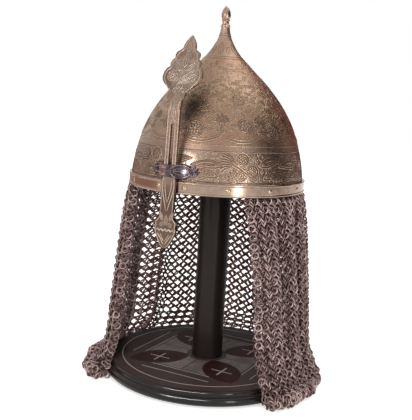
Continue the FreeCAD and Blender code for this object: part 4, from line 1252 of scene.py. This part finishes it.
class HELMET_OT_add_bracket_leaves(bpy.types.Operator):
    """Lay a rim, a ridge and veins on the bracket"""
    bl_idname = "helmet.add_bracket_leaves"
    bl_label = "Add Bracket Leaves"

    def execute(self, context):
        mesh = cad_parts["nasal_bracket"].data
        tree = BVHTree.FromPolygons([v.co for v in mesh.vertices],
                                    [p.vertices for p in mesh.polygons])

        def place(x, y, lift):
            found = []
            for px, py, up in zip(x, y, lift):
                high = RIM_Z + BRACKET_MID_H + py
                hit = tree.ray_cast(Vector((px * MM, -0.2, high * MM)), Vector((0, 1, 0)))[0]
                near = -hit.y / MM if hit else 104.0
                found.append((px, -(near + up), high))
            return np.array(found)

        relief = Relief()
        t = np.linspace(-1, 1, 33)
        # Right half: an almond inside a rim; left half: a roll above and one below
        almond = np.c_[12.4 + 12.0 * t, 6.9 * (1 - np.abs(t)**2.3)]
        inner = np.c_[13.0 + 7.6 * t, 3.4 * (1 - np.abs(t)**2.2)]
        roll = [(-24.0, 1.9), (-17.0, 3.3), (-9.5, 3.9), (-3.4, 3.6)]
        edge = [(-21.0, 7.0), (-12.0, 7.6), (-3.6, 7.4)]
        for side in (-1, 1):
            for path, width, height, step, valley in (
                    (almond, 1.5, 0.8, 0.7, 0.8), (inner, 0.8, 0.4, 0.6, 0.8),
                    (roll, 3.4, 1.1, 0.7, 0.9), (edge, 1.0, 0.5, 0.7, 0.6)):
                relief.stroke(place, np.asarray(path) * (1, side), width, height, step=step,
                              valley=valley)
            lobe = moved(leaf(6.0, 2.8, 0.2), 90 * side, side * 24.0, 0.0)
            relief.strokes(place, lobe, 0.7, 0.35, step=0.5, valley=0.4)
        relief.stroke(place, [(6.5, 0.0), (19.5, 0.0)], 0.8, 0.5, step=0.7, valley=0.7)
        bright = bracket_steel("bracket_relief_steel", "#85777B", "#3A3034", 0.24)
        dark = rubbed_metal("bracket_valleys", "#241B1E", "#161112", 0.45)
        relief.pieces(["bracket_relief"], [bright, dark], "helmet")
        return {"FINISHED"}


class HELMET_OT_add_sweatband_stitches(bpy.types.Operator):
    """Sew the sweatband along both edges"""
    bl_idname = "helmet.add_sweatband_stitches"
    bl_label = "Add Sweatband Stitches"

    def execute(self, context):
        thread = linen_thread("waxed_linen_thread", "#B39A72", "#6E5A40")
        parts = []
        low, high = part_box("sweatband")
        t = np.linspace(-0.011, 0.011, 5)
        for height, radius in ((low.z / MM + 2.0, 100.5), (high.z / MM - 2.0, 98.3)):
            for turn in 2 * math.pi * np.arange(STITCHES) / STITCHES:
                path = around(radius, turn + t, height)
                path[[0, -1], :2] *= (radius + 0.8) / radius
                parts.append(tube(path, 0.35, 5))
        points, faces = joined(parts)
        new_piece("sweatband_stitches", points, faces, [thread], "helmet")
        return {"FINISHED"}


def seen_ray(nodes):
    """1 for the rays that see the backdrop: straight, mirrored or let through."""
    path = nodes.add("LightPath").outputs
    two = nodes.calc("MAXIMUM", path["Is Camera Ray"], path["Is Glossy Ray"])
    return nodes.calc("MAXIMUM", two, path["Is Transmission Ray"])


def plate(name, wide, high, drop=0.0):
    """Flat rectangle that faces up, a little below its own origin."""
    mesh = bpy.data.meshes.new(name)
    mesh.from_pydata([(x * wide / 2, y * high / 2, -drop) for x, y in (
        (-1, -1), (1, -1), (1, 1), (-1, 1))], [], [(0, 1, 2, 3)])
    return bpy.data.objects.new(name, mesh)


def stand_at(piece, turn, rise, reach):
    """Puts a lamp or flag at an angle and a height round the object's middle, facing it."""
    bpy.context.scene.collection.objects.link(piece)
    aim = Vector((0.0, 0.0, AIM_Z))
    a, e = math.radians(turn), math.radians(rise)
    piece.location = aim + reach * Vector((math.sin(a) * math.cos(e),
                                           -math.cos(a) * math.cos(e), math.sin(e)))
    piece.rotation_euler = (aim - piece.location).to_track_quat("-Z", "Y").to_euler()


class HELMET_OT_set_stage(bpy.types.Operator):
    """Set the floor, the light and the camera"""
    bl_idname = "helmet.set_stage"
    bl_label = "Set Stage"

    def execute(self, context):
        scene, size = context.scene, context.scene.helmet_stage
        floor = plate("floor", FLOOR_SIZE, FLOOR_SIZE, FLOOR_DROP)
        scene.collection.objects.link(floor)
        look = Look("matt_white_floor")
        floor.data.materials.append(look.set(Base_Color="#F4F3F1", Roughness=0.9))
        plain = look.shader.outputs[0]
        glow = look.add("Emission", {"Color": "#FFFFFF", "Strength": FLOOR_GLOW})
        lit = look.add("AddShader", {0: plain, 1: glow.outputs[0]})
        pick = look.add("MixShader", {"Fac": seen_ray(look), 1: plain, 2: lit.outputs[0]})
        look.feed(look.output.inputs["Surface"], pick.outputs[0])

        scene.world = bpy.data.worlds.new("studio")
        scene.world.use_nodes = True
        sky = Nodes(scene.world.node_tree)
        soft, white = (sky.add("Background", {"Color": shade, "Strength": strength}).outputs[0]
                       for shade, strength in (("#FFFDFB", size.fill), ("#FFFFFF", 1.0)))
        both = sky.add("MixShader", {"Fac": seen_ray(sky), 1: soft, 2: white})
        sky.add("OutputWorld", {"Surface": both.outputs[0]})

        for name, turn, rise, reach, wide, high, watts in (
                ("key", -6, 18, 1.3, 0.34, 0.34, size.key_power),
                ("glint", 55, 2, 1.1, 0.17, 0.7, size.glint_power),
                ("strip", 4, 31, 1.2, 1.0, 0.05, size.strip_power),
                ("top", 150, 66, 1.4, 1.0, 1.0, size.top_power)):
            lamp = bpy.data.lights.new(name, "AREA")
            lamp.shape = "RECTANGLE"
            lamp.size, lamp.size_y, lamp.energy = wide, high, watts
            stand_at(bpy.data.objects.new(name, lamp), turn, rise, reach)
        edge = bpy.data.collections.new("lit by the strip")
        edge.objects.link(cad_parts["stand_base"])
        bpy.data.objects["strip"].light_linking.receiver_collection = edge
        for name, turn, rise, reach, wide, high, shade in (
                ("flag_right", 109, 20, 1.0, 1.05, 0.95, "#3D302E"),
                ("flag_left", -92, -5, 1.0, 1.9, 0.28, "#CFA79C"),
                ("flag_back", 168, 24, 1.0, 0.8, 0.9, "#8A4A3C")):
            flag = plate(name, wide, high)
            cloth = Look(name + "_cloth").set(Base_Color=shade, Roughness=1.0)
            flag.data.materials.append(cloth)
            stand_at(flag, turn, rise, reach)
            for kind in ("camera", "diffuse", "transmission", "volume_scatter", "shadow"):
                setattr(flag, "visible_" + kind, False)

        camera = bpy.data.cameras.new("camera")
        camera.sensor_fit = "HORIZONTAL"
        camera.sensor_width = 36.0
        camera.lens = size.lens
        place = bpy.data.objects.new("camera", camera)
        scene.collection.objects.link(place)
        ahead, up = Vector(CAMERA_AHEAD), Vector(CAMERA_UP)
        place.matrix_world = Matrix.Translation(CAMERA_AT) @ Matrix(
            (ahead.cross(up), up, -ahead)).transposed().to_4x4()
        scene.camera = place
        scene.view_settings.view_transform = "Standard"
        return {"FINISHED"}


class HELMET_PT_panel(bpy.types.Panel):
    """Lists the helmet's pieces and settings"""
    bl_label = "Spired Helmet"
    bl_idname = "HELMET_PT_panel"
    bl_space_type = "VIEW_3D"
    bl_region_type = "UI"
    bl_category = "Helmet"

    def draw(self, context):
        for operator in OPERATORS:
            self.layout.operator(operator.bl_idname)
        for group in (context.scene.helmet_finish, context.scene.helmet_mail,
                      context.scene.helmet_stage):
            for name in group.__annotations__:
                self.layout.prop(group, name)


OPERATORS = (
    HELMET_OT_finish_metal, HELMET_OT_finish_stand, HELMET_OT_add_bowl_engraving,
    HELMET_OT_add_nasal_engraving, HELMET_OT_add_bracket_leaves, HELMET_OT_add_mail,
    HELMET_OT_add_mail_hanger, HELMET_OT_add_sweatband_stitches, HELMET_OT_set_stage)
SETTINGS = {"helmet_finish": HelmetFinishSettings, "helmet_mail": HelmetMailSettings,
            "helmet_stage": HelmetStageSettings}


def register():
    for kind in (*SETTINGS.values(), *OPERATORS, HELMET_PT_panel):
        bpy.utils.register_class(kind)
    for name, kind in SETTINGS.items():
        setattr(bpy.types.Scene, name, bpy.props.PointerProperty(type=kind))


def unregister():
    for name in SETTINGS:
        delattr(bpy.types.Scene, name)
    for kind in (HELMET_PT_panel, *reversed(OPERATORS), *reversed(list(SETTINGS.values()))):
        bpy.utils.unregister_class(kind)


def main():
    register()
    for operator in OPERATORS:
        group, name = operator.bl_idname.split(".")
        getattr(getattr(bpy.ops, group), name)()


if __name__ == "__main__":
    main()
